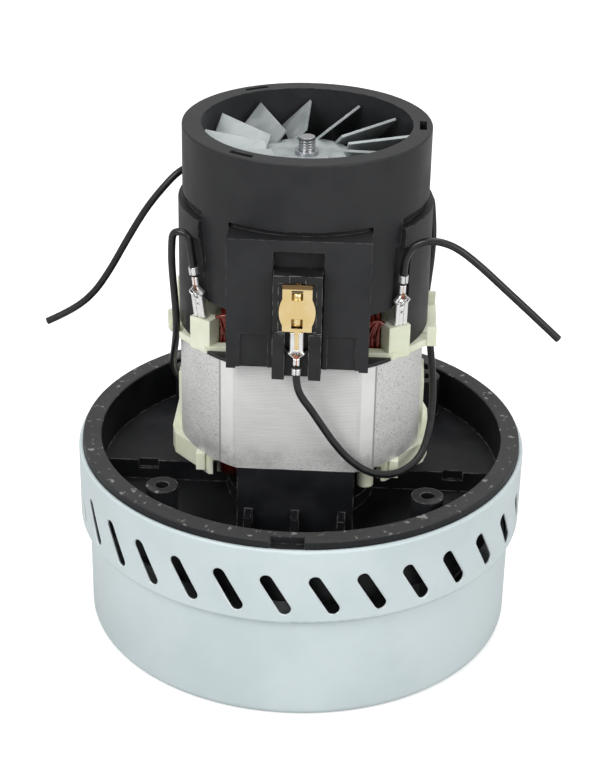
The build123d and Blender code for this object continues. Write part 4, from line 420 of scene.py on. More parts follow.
def grid_faces(rows, columns, offset, round_rows):
    """Quads between neighbouring points of a grid, joined round across and, where asked, along."""
    r, c = np.meshgrid(np.arange(rows if round_rows else rows - 1), np.arange(columns), indexing="ij")
    r2, c2 = (r + 1) % rows, (c + 1) % columns
    quads = np.stack([r * columns + c, r2 * columns + c, r2 * columns + c2, r * columns + c2], -1)
    return (quads.reshape(-1, 4) + offset).tolist()


def grids_piece(name, grids, material, body, round_rows=False, smooth=True):
    """One object from grids with flat end caps; rows run clockwise from ahead, so faces point outwards."""
    points, faces, offset = [], [], 0
    for grid in grids:
        rows, columns = grid.shape[:2]
        points.append(grid.reshape(-1, 3))
        faces += grid_faces(rows, columns, offset, round_rows)
        if not round_rows:
            faces.append([offset + k for k in range(columns)])
            faces.append([offset + (rows - 1) * columns + k for k in reversed(range(columns))])
        offset += rows * columns
    mesh = bpy.data.meshes.new(name)
    mesh.from_pydata(np.concatenate(points).tolist(), [], faces)
    mesh.polygons.foreach_set("use_smooth", np.full(len(mesh.polygons), smooth))
    mesh.materials.append(material)
    piece = bpy.data.objects.new(name, mesh)
    scene.collection.objects.link(piece)
    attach(piece, body)
    return piece


def lip_grid(number):
    """Bead along a slot's edge: two straight sides and two half circles, slanted, laid on the band."""
    turn = np.linspace(-math.pi / 2, math.pi / 2, 11)
    reach = LOUVRE["half_length"] + LOUVRE["half_width"] * np.cos(turn)
    rise = LOUVRE["half_width"] * np.sin(turn)
    along = np.concatenate((reach, -reach))
    over = np.concatenate((rise, -rise))
    slant = math.radians(LOUVRE["slant"])
    side = along * math.cos(slant) - over * math.sin(slant)
    height = LOUVRE["height"] + along * math.sin(slant) + over * math.cos(slant)
    out = np.sqrt(LOUVRE["radius"] ** 2 - side ** 2)
    place = math.radians(LOUVRE["start"] + 360.0 / LOUVRE["count"] * number)
    path = np.stack([
        out * math.cos(place) - side * math.sin(place), out * math.sin(place) + side * math.cos(place),
        height,
    ], -1)
    return tube_points(path, LOUVRE["bead"], 8)


dress(["fan_case"], enamel)
grids_piece(
    "louvre_lips", [lip_grid(number) for number in range(LOUVRE["count"])], lip_highlight_enamel,
    "motor", round_rows=True,
)


# Impellers, guide and stage plate: riveted sheet aluminium wheels and zinc-coated plates
# stacked inside the case, seen only as dark edges through the louvres.
mill_aluminium = surface(
    "mill aluminium", (0.60, 0.62, 0.63), (0.50, 0.52, 0.53), (0.75, 0.76, 0.77),
    (0.30, 0.46), metallic=0.85, cloud=70.0, edge_radius=0.0002, wear=0.5, wear_scale=700.0,
    grain=1200.0, grain_depth=0.00002,
)
zinc_sheet = surface(
    "zinc sheet", (0.52, 0.53, 0.55), (0.42, 0.43, 0.45), (0.70, 0.70, 0.70),
    (0.28, 0.42), metallic=0.95, cloud=120.0, wear=0.4,
)
dress([
    "first_impeller_disc", "first_impeller_blades", "first_impeller_shroud",
    "second_impeller_disc", "second_impeller_blades", "second_impeller_shroud", "return_guide",
], mill_aluminium)
dress(["stage_plate", "bearing_retainer"], zinc_sheet)


# Motor frame: glass-filled black moulding with a dull skin, rubbed pale on its edges, the flat
# top of its rim painted lighter as lit from above. It closes the case, and the stack and the cowl stand on
# it.
frame_black = surface(
    "frame black", (0.008, 0.0085, 0.010), (0.015, 0.0155, 0.017), (0.22, 0.22, 0.21),
    (0.38, 0.54), cloud=60.0, edge_radius=0.0006, wear=0.9, wear_scale=300.0,
    grain=1100.0, grain_depth=0.00003, specular=0.22,
)
RIM_TOP = 0.0638
RIM_INSIDE = 0.0600


def coordinate(tree, place, axis):
    """One of the three coordinates of a place."""
    return put(tree, "ShaderNodeSeparateXYZ", {0: place}).outputs[axis]


def repaint(material, change):
    """Puts a change of colour, worked out from the place and the colour so far, before the shader."""
    tree = material.node_tree
    socket = tree.nodes["Principled BSDF"].inputs["Base Color"]
    place = put(tree, "ShaderNodeTexCoord").outputs["Object"]
    tree.links.new(change(tree, place, socket.links[0].from_socket), socket)


def lit_and_scuffed_rim(tree, place, colour):
    """Greys the rim's flat top as painted light from above, and strews pale nicks of wear over it."""
    flat = put(tree, "ShaderNodeVectorMath", {0: place, 1: (1.0, 1.0, 0.0)}, operation="MULTIPLY")
    out = put(tree, "ShaderNodeVectorMath", {0: flat.outputs["Vector"]}, operation="LENGTH")
    top = maths(
        tree, "MULTIPLY",
        ramp(tree, coordinate(tree, place, "Z"), RIM_TOP - 0.0006, RIM_TOP - 0.0001, "LINEAR"),
        ramp(tree, out.outputs["Value"], RIM_INSIDE, RIM_INSIDE + 0.001, "LINEAR"),
    )
    # Painted light: the rim's upward face is greyed lighter, as if lit by the lamps above.
    rubbed = blend_colour(tree, top, colour, (0.034, 0.034, 0.034))
    few = ramp(tree, noise(tree, place, 420.0, 6.0), 0.61, 0.67, "LINEAR")
    return blend_colour(tree, maths(tree, "MULTIPLY", few, top), rubbed, (0.20, 0.20, 0.19))


repaint(frame_black, lit_and_scuffed_rim)
dress(["motor_frame"], frame_black)


# Bearings, shaft and screws: rings, shaft and spacers of ground steel, balls of polished
# steel, and zinc-plated screws and nuts that clamp retainer, stack, impellers and fan.
ground_steel = surface(
    "ground steel", (0.55, 0.55, 0.56), (0.46, 0.46, 0.47), (0.72, 0.72, 0.72),
    (0.18, 0.30), metallic=1.0, cloud=160.0, wear=0.3, grain=2400.0, grain_depth=0.00001,
)
polished_steel = surface(
    "polished steel", (0.72, 0.72, 0.73), (0.66, 0.66, 0.67), (0.8, 0.8, 0.8),
    (0.06, 0.12), metallic=1.0, cloud=300.0, wear=0.0, grain=2400.0, grain_depth=0.000004,
)
plated_screw = surface(
    "plated screw", (0.50, 0.51, 0.53), (0.40, 0.41, 0.44), (0.75, 0.75, 0.75),
    (0.24, 0.40), metallic=1.0, cloud=260.0, wear=0.5,
)
dress([
    "lower_bearing_outer", "lower_bearing_inner", "upper_bearing_outer", "upper_bearing_inner",
    "rotor_shaft", "fan_spacer", "impeller_spacers", "impeller_washers",
], ground_steel)
dress(["lower_bearing_balls", "upper_bearing_balls"], polished_steel)
dress(["retainer_screws", "stator_screws", "impeller_nut", "fan_nut"], plated_screw)


# Stator stack: punched sheets 0.5 mm thick pressed together, their bare edges in fine lines
# across each face, with smears of oil and light rubs.
LAMINATION = 0.0005
# How far the rib's inner and outer edges stand from the middle.
RIB = (0.0192, 0.0236)
STACK_FOOT = 0.0677


def lamination_material():
    """Bright sheet edges in fine level lines, a smooth upright rib near each corner, pits beyond it."""
    made = bpy.data.materials.new("lamination edges")
    made.use_nodes = True
    tree = made.node_tree
    shader = tree.nodes["Principled BSDF"]
    place = put(tree, "ShaderNodeTexCoord").outputs["Object"]
    height = coordinate(tree, place, "Z")
    across = maths(tree, "ABSOLUTE", coordinate(tree, place, "X"))
    dark = (0.34, 0.34, 0.33)
    # The sheets' edges: a sine of the height, with streaks along them.
    wobbling = maths(tree, "MULTIPLY_ADD", noise(tree, place, 90.0, 2.0), 0.00002, height)
    wave = maths(tree, "SINE", maths(tree, "MULTIPLY", wobbling, 2 * math.pi / LAMINATION))
    line = ramp(tree, wave, -1.0, -0.55)
    along = put(tree, "ShaderNodeMapping", {"Vector": place, "Scale": (60.0, 60.0, 1500.0)})
    streak = noise(tree, along.outputs["Vector"], 1.0, 4.0)
    bright = blend_colour(tree, streak, (0.66, 0.66, 0.655), (0.88, 0.88, 0.875))
    colour = blend_colour(tree, line, (0.60, 0.598, 0.59), bright)
    # The smooth rib, then pits and soot at the foot and outside the rib, and its dark outer edge.
    rib = maths(
        tree, "MULTIPLY", ramp(tree, across, RIB[0], RIB[0] + 0.0004),
        ramp(tree, across, RIB[1], RIB[1] - 0.0004),
    )
    colour = blend_colour(tree, rib, colour, (0.86, 0.86, 0.85))
    low_part = ramp(tree, height, STACK_FOOT + 0.012, STACK_FOOT)
    outer_part = ramp(tree, across, RIB[1], RIB[1] + 0.0003)
    rough_part = maths(tree, "MAXIMUM", low_part, outer_part)
    pits = ramp(tree, noise(tree, place, 2400.0, 2.0), 0.56, 0.68)
    colour = blend_colour(tree, maths(tree, "MULTIPLY", pits, rough_part), colour, dark)
    soot = put(tree, "ShaderNodeGroup", {"Vector": place, "Scale": 75.0}, node_tree=MOTTLE)
    sooty = maths(tree, "MULTIPLY", low_part, soot.outputs["Mask"])
    colour = blend_colour(tree, sooty, colour, (0.40, 0.40, 0.39))
    off_edge = maths(tree, "ABSOLUTE", maths(tree, "SUBTRACT", across, RIB[1]))
    colour = blend_colour(tree, ramp(tree, off_edge, 0.0004, 0.0001), colour, dark)
    # Corners rubbed bright, and over all of it smears of oil.
    edges = put(tree, "ShaderNodeGroup", {
        "Vector": place, "Radius": 0.0006, "Scale": 180.0, "Amount": 0.8,
    }, node_tree=EDGE)
    colour = blend_colour(tree, edges.outputs["Mask"], colour, (0.95, 0.95, 0.94))
    smears = put(tree, "ShaderNodeGroup", {"Vector": place, "Scale": 55.0}, node_tree=MOTTLE)
    tone = blend_colour(tree, smears.outputs["Mask"], (0.80, 0.79, 0.78), (1.0, 1.0, 1.0))
    colour = blend_colour(tree, 0.35, colour, tone, "MULTIPLY")
    tree.links.new(colour, shader.inputs["Base Color"])
    tree.links.new(blend_value(tree, streak, 0.36, 0.58), shader.inputs["Roughness"])
    relief = put(tree, "ShaderNodeBump", {"Height": line, "Distance": 0.00004})
    tree.links.new(relief.outputs["Normal"], shader.inputs["Normal"])
    shader.inputs["Metallic"].default_value = 0.35
    return made


laminated = lamination_material()
dress(["stator_core", "armature_core"], laminated)


# End frames: pale green-white nylon mouldings clipped to both ends of the stack. Their walls
# hold the coils, and their posts hold the field terminals.
pale_nylon = surface(
    "pale nylon", (0.74, 0.78, 0.59), (0.82, 0.84, 0.69), (0.90, 0.91, 0.82),
    (0.30, 0.42), cloud=90.0, edge_radius=0.0004, wear=0.5, wear_scale=300.0,
    grain=700.0, grain_depth=0.00002, coat=0.1,
)
dress(["stator_frame_top", "stator_frame_bottom"], pale_nylon)
shader = pale_nylon.node_tree.nodes["Principled BSDF"]
shader.inputs["Subsurface Weight"].default_value = 0.25
shader.inputs["Subsurface Radius"].default_value = (0.0012, 0.0011, 0.0007)
shader.inputs["Subsurface Scale"].default_value = 1.0


# Field coils: enamelled copper wire 0.85 mm thick wound in layers round each pole's bobbin,
# its two ends led up over the shoulder of the coil to the posts.
WIRE = 0.00085
WIRE_SIDES = 7
COIL_X = (0.0167, 0.0247)
COIL_WINDOW = {"half": 0.0165, "low": 0.0614, "high": 0.1090, "corner": 0.0009}
COIL_LAYERS = 8
COIL_TURNS = 9
LEAD_OUTS = 7


def rounded_loop(share, half, low, high, corner):
    """Point on an upright rounded rectangle for each share of its length, with its width along Y."""
    flat = half - corner
    tall = (high - low) / 2 - corner
    arc = math.pi / 2 * corner
    lengths = np.array([flat, arc, 2 * tall, arc, 2 * flat, arc, 2 * tall, arc, flat])
    ends = np.concatenate(([0.0], np.cumsum(lengths)))
    s = (share % 1.0) * ends[-1]
    part = np.clip(np.searchsorted(ends, s, side="right") - 1, 0, 8)
    t = (s - ends[part]) / lengths[part]
    turn = t * math.pi / 2
    sine, cosine = np.sin(turn), np.cos(turn)
    y = np.choose(part, [
        -t * flat, -flat - corner * sine, -half + 0 * t, -flat - corner * cosine,
        -flat + 2 * flat * t,
        flat + corner * sine, half + 0 * t, flat + corner * cosine, flat - t * flat,
    ])
    z = np.choose(part, [
        -tall - corner + 0 * t, -tall - corner * cosine, -tall + 2 * tall * t, tall + corner * sine,
        tall + corner + 0 * t,
        tall + corner * cosine, tall - 2 * tall * t, -tall - corner * sine, -tall - corner + 0 * t,
    ])
    return y, z + (low + high) / 2


def half_turned(grid):
    """The same points after half a turn about the shaft."""
    return grid * np.array([-1.0, -1.0, 1.0])


def coil_path(side):
    """Wire of one coil: loops that step across X in a layer, then back in the next, a wire further out."""
    steps = 72
    pieces = []
    first = COIL_X[0] + WIRE * 0.55
    pitch = (COIL_X[1] - COIL_X[0] - WIRE * 1.1) / COIL_TURNS
    turn = np.linspace(0.0, COIL_TURNS, COIL_TURNS * steps, endpoint=False)
    for layer in range(COIL_LAYERS):
        out = WIRE * (0.52 + 0.97 * layer)
        y, z = rounded_loop(
            turn, COIL_WINDOW["half"] + out, COIL_WINDOW["low"] - out, COIL_WINDOW["high"] + out,
            COIL_WINDOW["corner"] + out,
        )
        across = turn if layer % 2 == 0 else COIL_TURNS - turn
        drift = 0.00022 * np.sin(2.1 * turn + 1.7 * layer) + 0.00016 * np.sin(9.3 * turn + layer)
        x = np.clip(first + pitch * across + drift, COIL_X[0] + WIRE / 2, COIL_X[1] - WIRE / 2)
        pieces.append(np.stack([x, y, z], -1))
    path = np.concatenate(pieces)
    return path if side > 0 else half_turned(path)


enamelled_wire = surface(
    "red enamelled wire", (0.15, 0.012, 0.008), (0.24, 0.026, 0.013), (0.75, 0.30, 0.18),
    (0.16, 0.24), metallic=0.35, cloud=500.0, wear=0.0, grain=900.0, grain_depth=0.00001, coat=0.8,
)
for side, place in ((1, "right"), (-1, "left")):
    grid = tube_points(coil_path(side), WIRE / 2, WIRE_SIDES)
    coil = grids_piece("field_winding_" + place, [grid], enamelled_wire, "motor")
    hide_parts("field_core_" + place, "field_wire_" + place)


def lead_out(number, end):
    """Strand on a curve of three points: the coil's upper corner, its shoulder, the pocket of the post."""
    share = np.linspace(0.0, 1.0, 14)[:, None]
    spread = number / (LEAD_OUTS - 1)
    start = np.array([0.0188 + 0.0045 * spread, end * 0.0242, 0.1086 + 0.0010 * math.sin(4.0 * number)])
    lift = np.array([0.0206 + 0.0036 * spread, end * (0.0247 - 0.0004 * spread), 0.1172 - 0.0011 * spread])
    last = np.array([0.0262 + 0.0004 * math.sin(number), end * (0.0236 - 0.0010 * spread), 0.1122])
    return (1 - share) ** 2 * start + 2 * share * (1 - share) * lift + share ** 2 * last


leads_out = []
for end in (-1, 1):
    for number in range(LEAD_OUTS):
        strand = tube_points(lead_out(number, end), WIRE / 2 * 0.85, 6)
        leads_out += [strand, half_turned(strand)]
grids_piece("field_lead_outs", leads_out, enamelled_wire, "motor")


# Rotor: a core of slotted sheets pressed on the shaft, its slots filled with varnished wire,
# and a commutator of copper bars on a resin hub, turned true after it was pressed on.
SLOTS = 22
CORE = {"low": 0.0677, "high": 0.1027}
END_STRAND = 0.00105
SLOT_STRAND = 0.00098


def end_turn_path(number, start, way):
    """One coil's end turn: out of a slot, over the others in a low dome, to a slot almost opposite."""
    share = np.linspace(0.0, 1.0, 26)
    rise = np.sin(math.pi * share)
    angle = 2 * math.pi * number / SLOTS + math.radians(150.0) * share
    radius = 0.0172 - 0.0068 * rise ** 0.8 + 0.0008 * math.sin(1.9 * number)
    height = start + way * (0.0004 + (0.0062 + 0.0006 * (number % 3)) * rise ** 0.55)
    return np.stack([radius * np.cos(angle), radius * np.sin(angle), height], -1)


def slot_fill(number):
    """Wires packed in a slot, as four upright strands side by side."""
    angle = 2 * math.pi * number / SLOTS
    height = np.linspace(CORE["low"], CORE["high"], 3)
    grids = []
    for depth in (0.0135, 0.0155, 0.0175, 0.0195):
        path = np.stack([
            np.full(3, depth * math.cos(angle)), np.full(3, depth * math.sin(angle)), height,
        ], -1)
        grids.append(tube_points(path, SLOT_STRAND, 8))
    return grids


varnished_wire = surface(
    "varnished copper", (0.36, 0.13, 0.06), (0.50, 0.20, 0.09), (0.70, 0.38, 0.22),
    (0.22, 0.36), metallic=0.6, cloud=400.0, wear=0.0, coat=0.5,
)
strands = [
    tube_points(end_turn_path(number, start, way), END_STRAND, 8)
    for number in range(SLOTS) for start, way in ((CORE["high"], 1.0), (CORE["low"], -1.0))
]
for number in range(SLOTS):
    strands += slot_fill(number)
winding = grids_piece("armature_coils", strands, varnished_wire, "rotor")
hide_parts("armature_winding")
commutator_copper = surface(
    "commutator copper", (0.62, 0.30, 0.17), (0.45, 0.22, 0.13), (0.80, 0.50, 0.36),
    (0.22, 0.38), metallic=0.95, cloud=220.0, wear=0.4, stretch=(1.0, 1.0, 8.0),
)
dark_resin = surface(
    "dark resin", (0.060, 0.040, 0.028), (0.085, 0.058, 0.04), (0.14, 0.10, 0.08),
    (0.40, 0.55), cloud=200.0, wear=0.3,
)
dress(["commutator_bars"], commutator_copper)
dress(["commutator_hub"], dark_resin)


# Upper bracket: black moulded cowl over the commutator, which carries the brush gear and
# turns the fan's air down over the motor. Four long screws hold it on the stack.
black_moulding = surface(
    "black moulding", (0.013, 0.0135, 0.015), (0.022, 0.0225, 0.024), (0.16, 0.16, 0.155),
    (0.40, 0.56), cloud=45.0, edge_radius=0.0004, wear=0.7, wear_scale=420.0,
    grain=1100.0, grain_depth=0.00003, specular=0.28,
)
dress(["upper_bracket"], black_moulding)


# Brush gear: a black moulded holder with a brass tube, in which a coil spring presses the
# carbon brush on the commutator, closed by a cap of folded brass strip.
holder_black = surface(
    "holder black", (0.010, 0.010, 0.011), (0.018, 0.018, 0.019), (0.40, 0.40, 0.38),
    (0.36, 0.55), cloud=160.0, edge_radius=0.00030, wear=1.0, wear_scale=500.0,
    grain=1800.0, grain_depth=0.00002, specular=0.30,
)
brass = surface(
    "pressed brass", (0.88, 0.68, 0.32), (0.92, 0.75, 0.42), (0.96, 0.84, 0.60),
    (0.18, 0.34), metallic=1.0, cloud=240.0, edge_radius=0.0003, wear=0.5, wear_scale=700.0,
    grain=900.0, grain_depth=0.00002,
)
cap_brass = surface(
    "cap brass", (0.86, 0.65, 0.30), (0.92, 0.74, 0.42), (0.97, 0.88, 0.68),
    (0.16, 0.30), metallic=1.0, cloud=150.0, edge_radius=0.0003, wear=0.5, wear_scale=700.0,
    grain=900.0, grain_depth=0.00001,
)
CAP_FOLD_FOOT = 0.1322


def brown_fold(tree, place, colour):
    """Darkens the cap above the foot of its fold, where the sheet turns back to the holder."""
    mask = ramp(tree, coordinate(tree, place, "Z"), CAP_FOLD_FOOT, CAP_FOLD_FOOT + 0.0003, "LINEAR")
    return blend_colour(tree, mask, colour, (0.20, 0.13, 0.06))


repaint(cap_brass, brown_fold)
carbon = surface(
    "brush carbon", (0.022, 0.022, 0.023), (0.040, 0.040, 0.041), (0.10, 0.10, 0.10),
    (0.50, 0.70), cloud=700.0, wear=0.4, grain=3000.0, grain_depth=0.00003,
)
spring_wire = surface(
    "spring wire", (0.42, 0.42, 0.44), (0.34, 0.34, 0.36), (0.6, 0.6, 0.6),
    (0.20, 0.34), metallic=1.0, cloud=600.0, wear=0.0,
)
SPRING = {
    "radius": 0.0022, "wire": 0.00025, "turns": 8.0, "near": 0.03535, "far": 0.04305,
    "height": 0.125, "keep": 0.48,
}


def spring_path(end):
    """Coil round the brush's line, at an even pitch between two ends that lie almost closed."""
    share = np.linspace(0.0, 1.0, 240)
    ease = np.clip((share - 0.12) / 0.76, 0.0, 1.0)
    angle = 2 * math.pi * SPRING["turns"] * share
    return np.stack([
        SPRING["radius"] * np.cos(angle),
        end * (SPRING["near"] + (SPRING["far"] - SPRING["near"]) * (0.06 * share + 0.94 * ease)),
        SPRING["height"] + SPRING["radius"] * np.sin(angle),
    ], -1)


for end, place in ((-1, "front"), (1, "back")):
    dress(["brush_holder_" + place], holder_black)
    dress(["brush_tube_" + place], brass)
    dress(["brush_cap_" + place], cap_brass)
    dress(["carbon_brush_" + place], carbon)
    spring = grids_piece(
        "brush_spring_coils_" + place, [tube_points(spring_path(end), SPRING["wire"], 8)],
        spring_wire, "motor",
    )
    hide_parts("brush_spring_" + place)
    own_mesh(spring)


# Terminals: each receptacle is stamped from one strip of tinned brass, its sides curled over
# the blade, its ears flared, then rolled tight on the strands and clawed round the insulation.
SHEET = 0.00030
STRANDS = 19
BLADE = {
    "half": 0.0018, "low": -0.0046, "high": 0.0060, "sheet": 0.0008, "hole": 0.00042,
    "hole_height": 0.0042,
}
# A brush receptacle is one of the smaller size; its strands are only shorter. It hangs from its
# seat, which is as far out from the shaft and as high as given.
BRUSH_SEAT = {"out": 0.04365, "height": 0.1187}
BRUSH_RECEPTACLE = np.array([0.94, 0.86, 0.84])
BRUSH_STRANDS = np.array([1.0, 1.0, 0.84])
# Where each post's receptacle sits, and its lean and turn in degrees.
POST_TERMINALS = {
    "front_right": ((0.0302, -0.0239, 0.113253), 1.0, 30.0),
    "front_left": ((-0.0302, -0.0239, 0.113572), -7.0, -30.0),
    "back_left": ((-0.0302, 0.0239, 0.113253), -1.0, -150.0),
    "back_right": ((0.0302, 0.0239, 0.113572), 7.0, 150.0),
}
# Along the strip in millimetres: height, half width, radius of the sides and, in degrees, how
# far these curl: the grip on the blade, the ears, the crimp on the strands, the last claws.
STRIP_ROWS = (
    (0.00, 2.02, 0.72, -196.0), (0.12, 2.06, 0.72, -200.0), (0.30, 2.05, 0.70, -205.0),
    (6.90, 2.05, 0.70, -205.0), (7.40, 2.15, 0.74, -190.0), (7.45, 2.30, 0.78, -140.0),
    (7.85, 2.62, 0.84, -96.0), (8.25, 2.66, 0.90, -70.0), (8.75, 2.10, 0.98, -62.0),
    (9.20, 1.56, 1.02, -62.0),
    (9.75, 1.16, 0.84, -66.0), (10.00, 1.03, 0.60, -90.0), (10.05, 1.02, 0.50, -262.0),
    (11.05, 1.00, 0.49, -264.0), (11.15, 0.95, 0.465, -264.0), (11.25, 1.00, 0.49, -264.0),
    (12.05, 1.00, 0.49, -264.0), (12.15, 0.95, 0.465, -264.0), (12.25, 1.00, 0.49, -264.0),
    (13.05, 1.02, 0.50, -262.0), (13.10, 0.95, 0.62, -20.0), (13.16, 0.85, 0.75, 30.0),
    (13.70, 0.95, 1.10, 40.0), (13.78, 1.22, 1.22, -10.0), (13.86, 1.38, 1.38, -82.0),
    (14.10, 1.42, 1.42, -86.0), (15.20, 1.40, 1.40, -86.0), (15.90, 1.42, 1.42, -86.0),
    (16.20, 1.39, 1.39, -78.0), (16.30, 1.32, 1.32, -60.0),
)


def strip_line(width, radius, last):
    """Half of the strip's section: flat along the back, then an arc from the back to the last angle."""
    flat = np.linspace(0.0, 1.0, 4, endpoint=False) * (width - radius)
    angle = np.radians(np.linspace(90.0, last, 18))
    x = np.concatenate((flat, width - radius + radius * np.cos(angle)))
    y = np.concatenate((np.full(4, radius), radius * np.sin(angle)))
    across = np.concatenate((np.zeros(4), np.cos(angle)))
    outward = np.concatenate((np.ones(4), np.sin(angle)))
    return x, y, across, outward


def strip_ring(height, width, radius, last):
    """Closed section of the strip: the half line mirrored, with half the sheet on either side of it."""
    x, y, across, outward = strip_line(width, radius, last)
    line = np.stack([np.concatenate((-x[:0:-1], x)), np.concatenate((y[:0:-1], y))], -1)
    normal = np.stack([
        np.concatenate((-across[:0:-1], across)), np.concatenate((outward[:0:-1], outward))
    ], -1)
    half = SHEET * 1000.0 / 2
    loop = np.concatenate((line + half * normal, (line - half * normal)[::-1]))
    return np.c_[loop, np.full(len(loop), height)]


def tongue_tip():
    """Flat tongue that leans out and up in a straight line while its width and thickness shrink."""
    share = np.linspace(0.0, 1.0, 5)
    line = np.stack([0.0 * share, -0.00055 - 0.00075 * share, 0.0066 + 0.0021 * share], -1)
    shrink = 1.0 - 0.92 * share[:, None] ** 1.5
    corners = ((-0.0010, 0.0001), (0.0010, 0.0001), (0.0010, -0.0001), (-0.0010, -0.0001))
    return np.stack([line + np.array([x, y, 0.0]) * shrink for x, y in corners], 1)


def holed_blade():
    """Flat blade as a ring from its round hole to its oblong edge, a little bevelled, and back."""
    angle = np.linspace(0.0, 2 * math.pi, 40, endpoint=False)
    cosine, sine = np.cos(angle), np.sin(angle)
    up, down = BLADE["high"] - BLADE["hole_height"], BLADE["hole_height"] - BLADE["low"]
    reach = 1.0 / np.maximum(
        np.abs(cosine) / BLADE["half"], np.abs(sine) / np.where(sine > 0, up, down)
    )
    rows = []
    for scale, level in ((0, -0.6), (0, -1), (0.97, -1), (1, -0.6), (1, 0.6), (0.97, 1), (0, 1), (0, 0.6)):
        size = reach * scale if scale else np.full_like(reach, BLADE["hole"])
        rows.append(np.stack([
            size * cosine, np.full_like(angle, level * BLADE["sheet"] / 2),
            BLADE["hole_height"] + size * sine,
        ], -1))
    return np.array(rows)


def crimped_strands():
    """Fine strands set out on a spiral, that come out of the crimp and splay between the ears."""
    grids = []
    share = np.linspace(0.0, 1.0, 7)
    for number in range(STRANDS):
        angle = 2.4 * number
        reach = 0.115 * math.sqrt(number)
        splay = 1.0 + 0.55 * share ** 2 * (0.5 + 0.5 * math.sin(3.1 * number))
        top = 13.2
        low = 8.75 + 0.35 * math.sin(2.3 * number)
        path = np.stack([
            reach * 1.45 * splay * math.cos(angle), reach * splay * math.sin(angle) + 0.05 * share,
            top - (top - low) * share,
        ], -1)
        grids.append(tube_points(path * 0.001, 0.00013, 6))
    return grids


def seat_matrix(place, lean, turn):
    """Turn about the upright first, then lean about Y, then the move to the seat."""
    return (
        Matrix.Translation(place) @ Matrix.Rotation(math.radians(lean), 4, "Y")
        @ Matrix.Rotation(math.radians(turn), 4, "Z")
    )


def placed(grids, matrix):
    """The same grids after a matrix."""
    turn = np.array(matrix.to_3x3())
    return [grid @ turn.T + np.array(matrix.translation) for grid in grids]


tinned = surface(
    "tinned brass", (0.88, 0.88, 0.87), (0.80, 0.80, 0.79), (0.95, 0.95, 0.94),
    (0.16, 0.24), metallic=0.85, cloud=260.0, wear=0.2, wear_scale=600.0,
    grain=1600.0, grain_depth=0.000004,
)
copper_strand = surface(
    "bright copper strand", (0.72, 0.29, 0.16), (0.55, 0.20, 0.10), (0.85, 0.5, 0.35),
    (0.22, 0.36), metallic=0.8, cloud=900.0, wear=0.0,
)
strip = np.array([strip_ring(*row) for row in STRIP_ROWS]) * 0.001
receptacle = [strip, tongue_tip()]
strands = crimped_strands()
blades = []
for name, (place, lean, turn) in POST_TERMINALS.items():
    seat = seat_matrix(place, lean, turn)
    blades += placed([holed_blade()], seat)
    metal = grids_piece(
        "receptacle_" + name, placed(receptacle, seat), tinned, "motor",
    )
    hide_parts("field_terminal_" + name)
    grids_piece(
        "receptacle_strands_" + name, placed(strands, seat), copper_strand,
        "motor",
    )
blade_piece = grids_piece(
    "post_blades", blades, tinned, "motor", round_rows=True, smooth=False,
)
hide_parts("terminal_tabs")
for end, place in ((-1, "front"), (1, "back")):
    seat = Matrix.Translation((0.0, end * BRUSH_SEAT["out"], BRUSH_SEAT["height"]))
    down = seat @ Matrix.Rotation(math.pi, 4, "Y")
    if end > 0:
        down = down @ Matrix.Rotation(math.pi, 4, "Z")
    metal = grids_piece(
        "brush_receptacle_" + place, placed([grid * BRUSH_RECEPTACLE for grid in receptacle], down),
        tinned, "motor",
    )
    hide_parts("brush_terminal_" + place)
    grids_piece(
        "brush_receptacle_strands_" + place, placed([grid * BRUSH_STRANDS for grid in strands], down),
        copper_strand, "motor",
    )


# Holder web: the black moulding goes on behind the brush receptacle's crimp, as a plate between
# the legs with a hollow top edge, moulded in one with the holder.
WEB = {
    "half": 0.0035, "low": 0.1035, "side": 0.1126, "middle": 0.1108, "front": 0.0421,
    "back": 0.0400, "corner": 0.0002,
}


def web_grid():
    """Rings of the plate's outline, small at both faces and full between, its top edge a shallow arc."""
    share = np.linspace(-1.0, 1.0, 13)
    x = np.concatenate((share, share[::-1])) * WEB["half"]
    arc = WEB["middle"] + (WEB["side"] - WEB["middle"]) * share ** 2
    z = np.concatenate((np.full(13, WEB["low"]), arc[::-1]))
    middle = (WEB["low"] + WEB["middle"]) / 2
    rings = (
        (WEB["back"], 0.96), (WEB["back"] + WEB["corner"], 1.0),
        (WEB["front"] - WEB["corner"], 1.0), (WEB["front"], 0.97),
    )
    return np.array([
        np.stack([x * scale, np.full(26, depth), middle + (z - middle) * scale], -1)
        for depth, scale in rings
    ])


for place, grid in (("front", half_turned(web_grid())), ("back", web_grid())):
    grids_piece("holder_web_" + place, [grid], holder_black, "motor", smooth=False)


# Contact strips: a springy brass strip behind each cap, seen through the cap's two windows,
# with its rounded tab standing behind the cap's fold.
TAB = {"half": 0.0011, "foot": 0.1338, "height": 0.0012, "front": 0.0431, "back": 0.0427}
# Up the strip in millimetres: height, half width, and how far the face stands from the shaft.
CONTACT_ROWS = (
    (120.1, 0.5, 43.20), (120.25, 1.5, 43.24), (120.6, 1.6, 43.36), (121.8, 1.6, 43.40),
    (123.2, 1.6, 43.24), (127.0, 1.6, 43.24), (128.9, 1.6, 43.36), (130.6, 1.6, 43.40),
    (131.0, 1.5, 43.10), (131.2, 1.2, 42.95), (131.4, 0.9, 42.90),
)


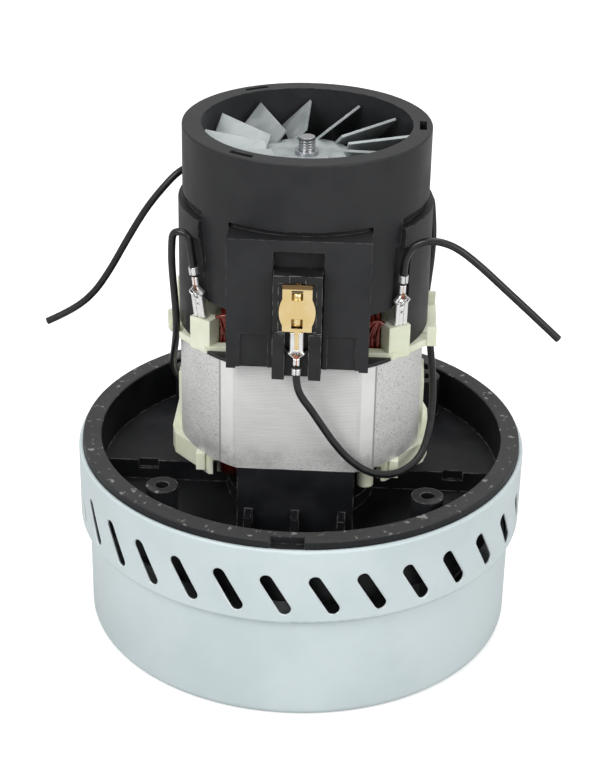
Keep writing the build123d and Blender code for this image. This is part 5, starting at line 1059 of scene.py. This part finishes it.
def contact_strip():
    """Section with a slightly raised back, carried up through the rows' heights, widths and depths."""
    ring = np.array([(-1, -1), (-0.5, -1.25), (0.5, -1.25), (1, -1), (1, 0), (-1, 0)])
    return np.stack([
        np.stack([ring[:, 0] * half, depth - 0.00007 * ring[:, 1], np.full(6, height)], -1)
        for height, half, depth in np.array(CONTACT_ROWS) * 0.001
    ])


def contact_tab():
    """Upright plate whose half width falls as the root of one less the square of its height."""
    lift = np.linspace(0.0, 1.0, 7)
    half = TAB["half"] * np.sqrt(np.clip(1.0 - lift ** 2, 0.01, 1.0))
    corners = ((-1, TAB["front"]), (1, TAB["front"]), (1, TAB["back"]), (-1, TAB["back"]))
    return np.stack([
        np.stack([side * half, np.full(7, depth), TAB["foot"] + TAB["height"] * lift], -1)
        for side, depth in corners
    ], 1)


for name, grid in (("strip", contact_strip()), ("tab", contact_tab())):
    for place, turned in (("front", half_turned(grid)), ("back", grid)):
        grids_piece("brush_contact_" + name + "_" + place, [turned], brass, "motor")


# Cooling fan: pressed from dull aluminium sheet, clamped by a low nut on the shaft's end, whose
# rolled thread stands out above it.
fan_sheet = surface(
    "dull fan sheet", (0.34, 0.37, 0.375), (0.42, 0.45, 0.45), (0.74, 0.75, 0.75),
    (0.40, 0.54), metallic=0.5, cloud=120.0, edge_radius=0.0002, wear=0.6, wear_scale=600.0,
    grain=900.0, grain_depth=0.00001,
)
THREAD = {"radius": 0.00244, "depth": 0.0002, "pitch": 0.0008, "low": 0.15925, "high": 0.16325}


def thread_grid():
    """Sleeve from the top down, its radius rising and falling once for each pitch or full turn."""
    angle = np.linspace(0.0, 2 * math.pi, 40, endpoint=False)
    height = np.linspace(THREAD["high"], THREAD["low"], 61)
    around, up = np.meshgrid(angle, height)
    wave = np.abs(2.0 * ((up / THREAD["pitch"] - around / (2 * math.pi)) % 1.0) - 1.0)
    fade = np.clip((THREAD["high"] - up) / THREAD["pitch"], 0.0, 1.0)
    radius = THREAD["radius"] + THREAD["depth"] * (wave - 0.3) * fade
    return np.stack([radius * np.cos(around), radius * np.sin(around), up], -1)


dress(["cooling_fan"], fan_sheet)
grids_piece("shaft_thread", [thread_grid()], ground_steel, "rotor")
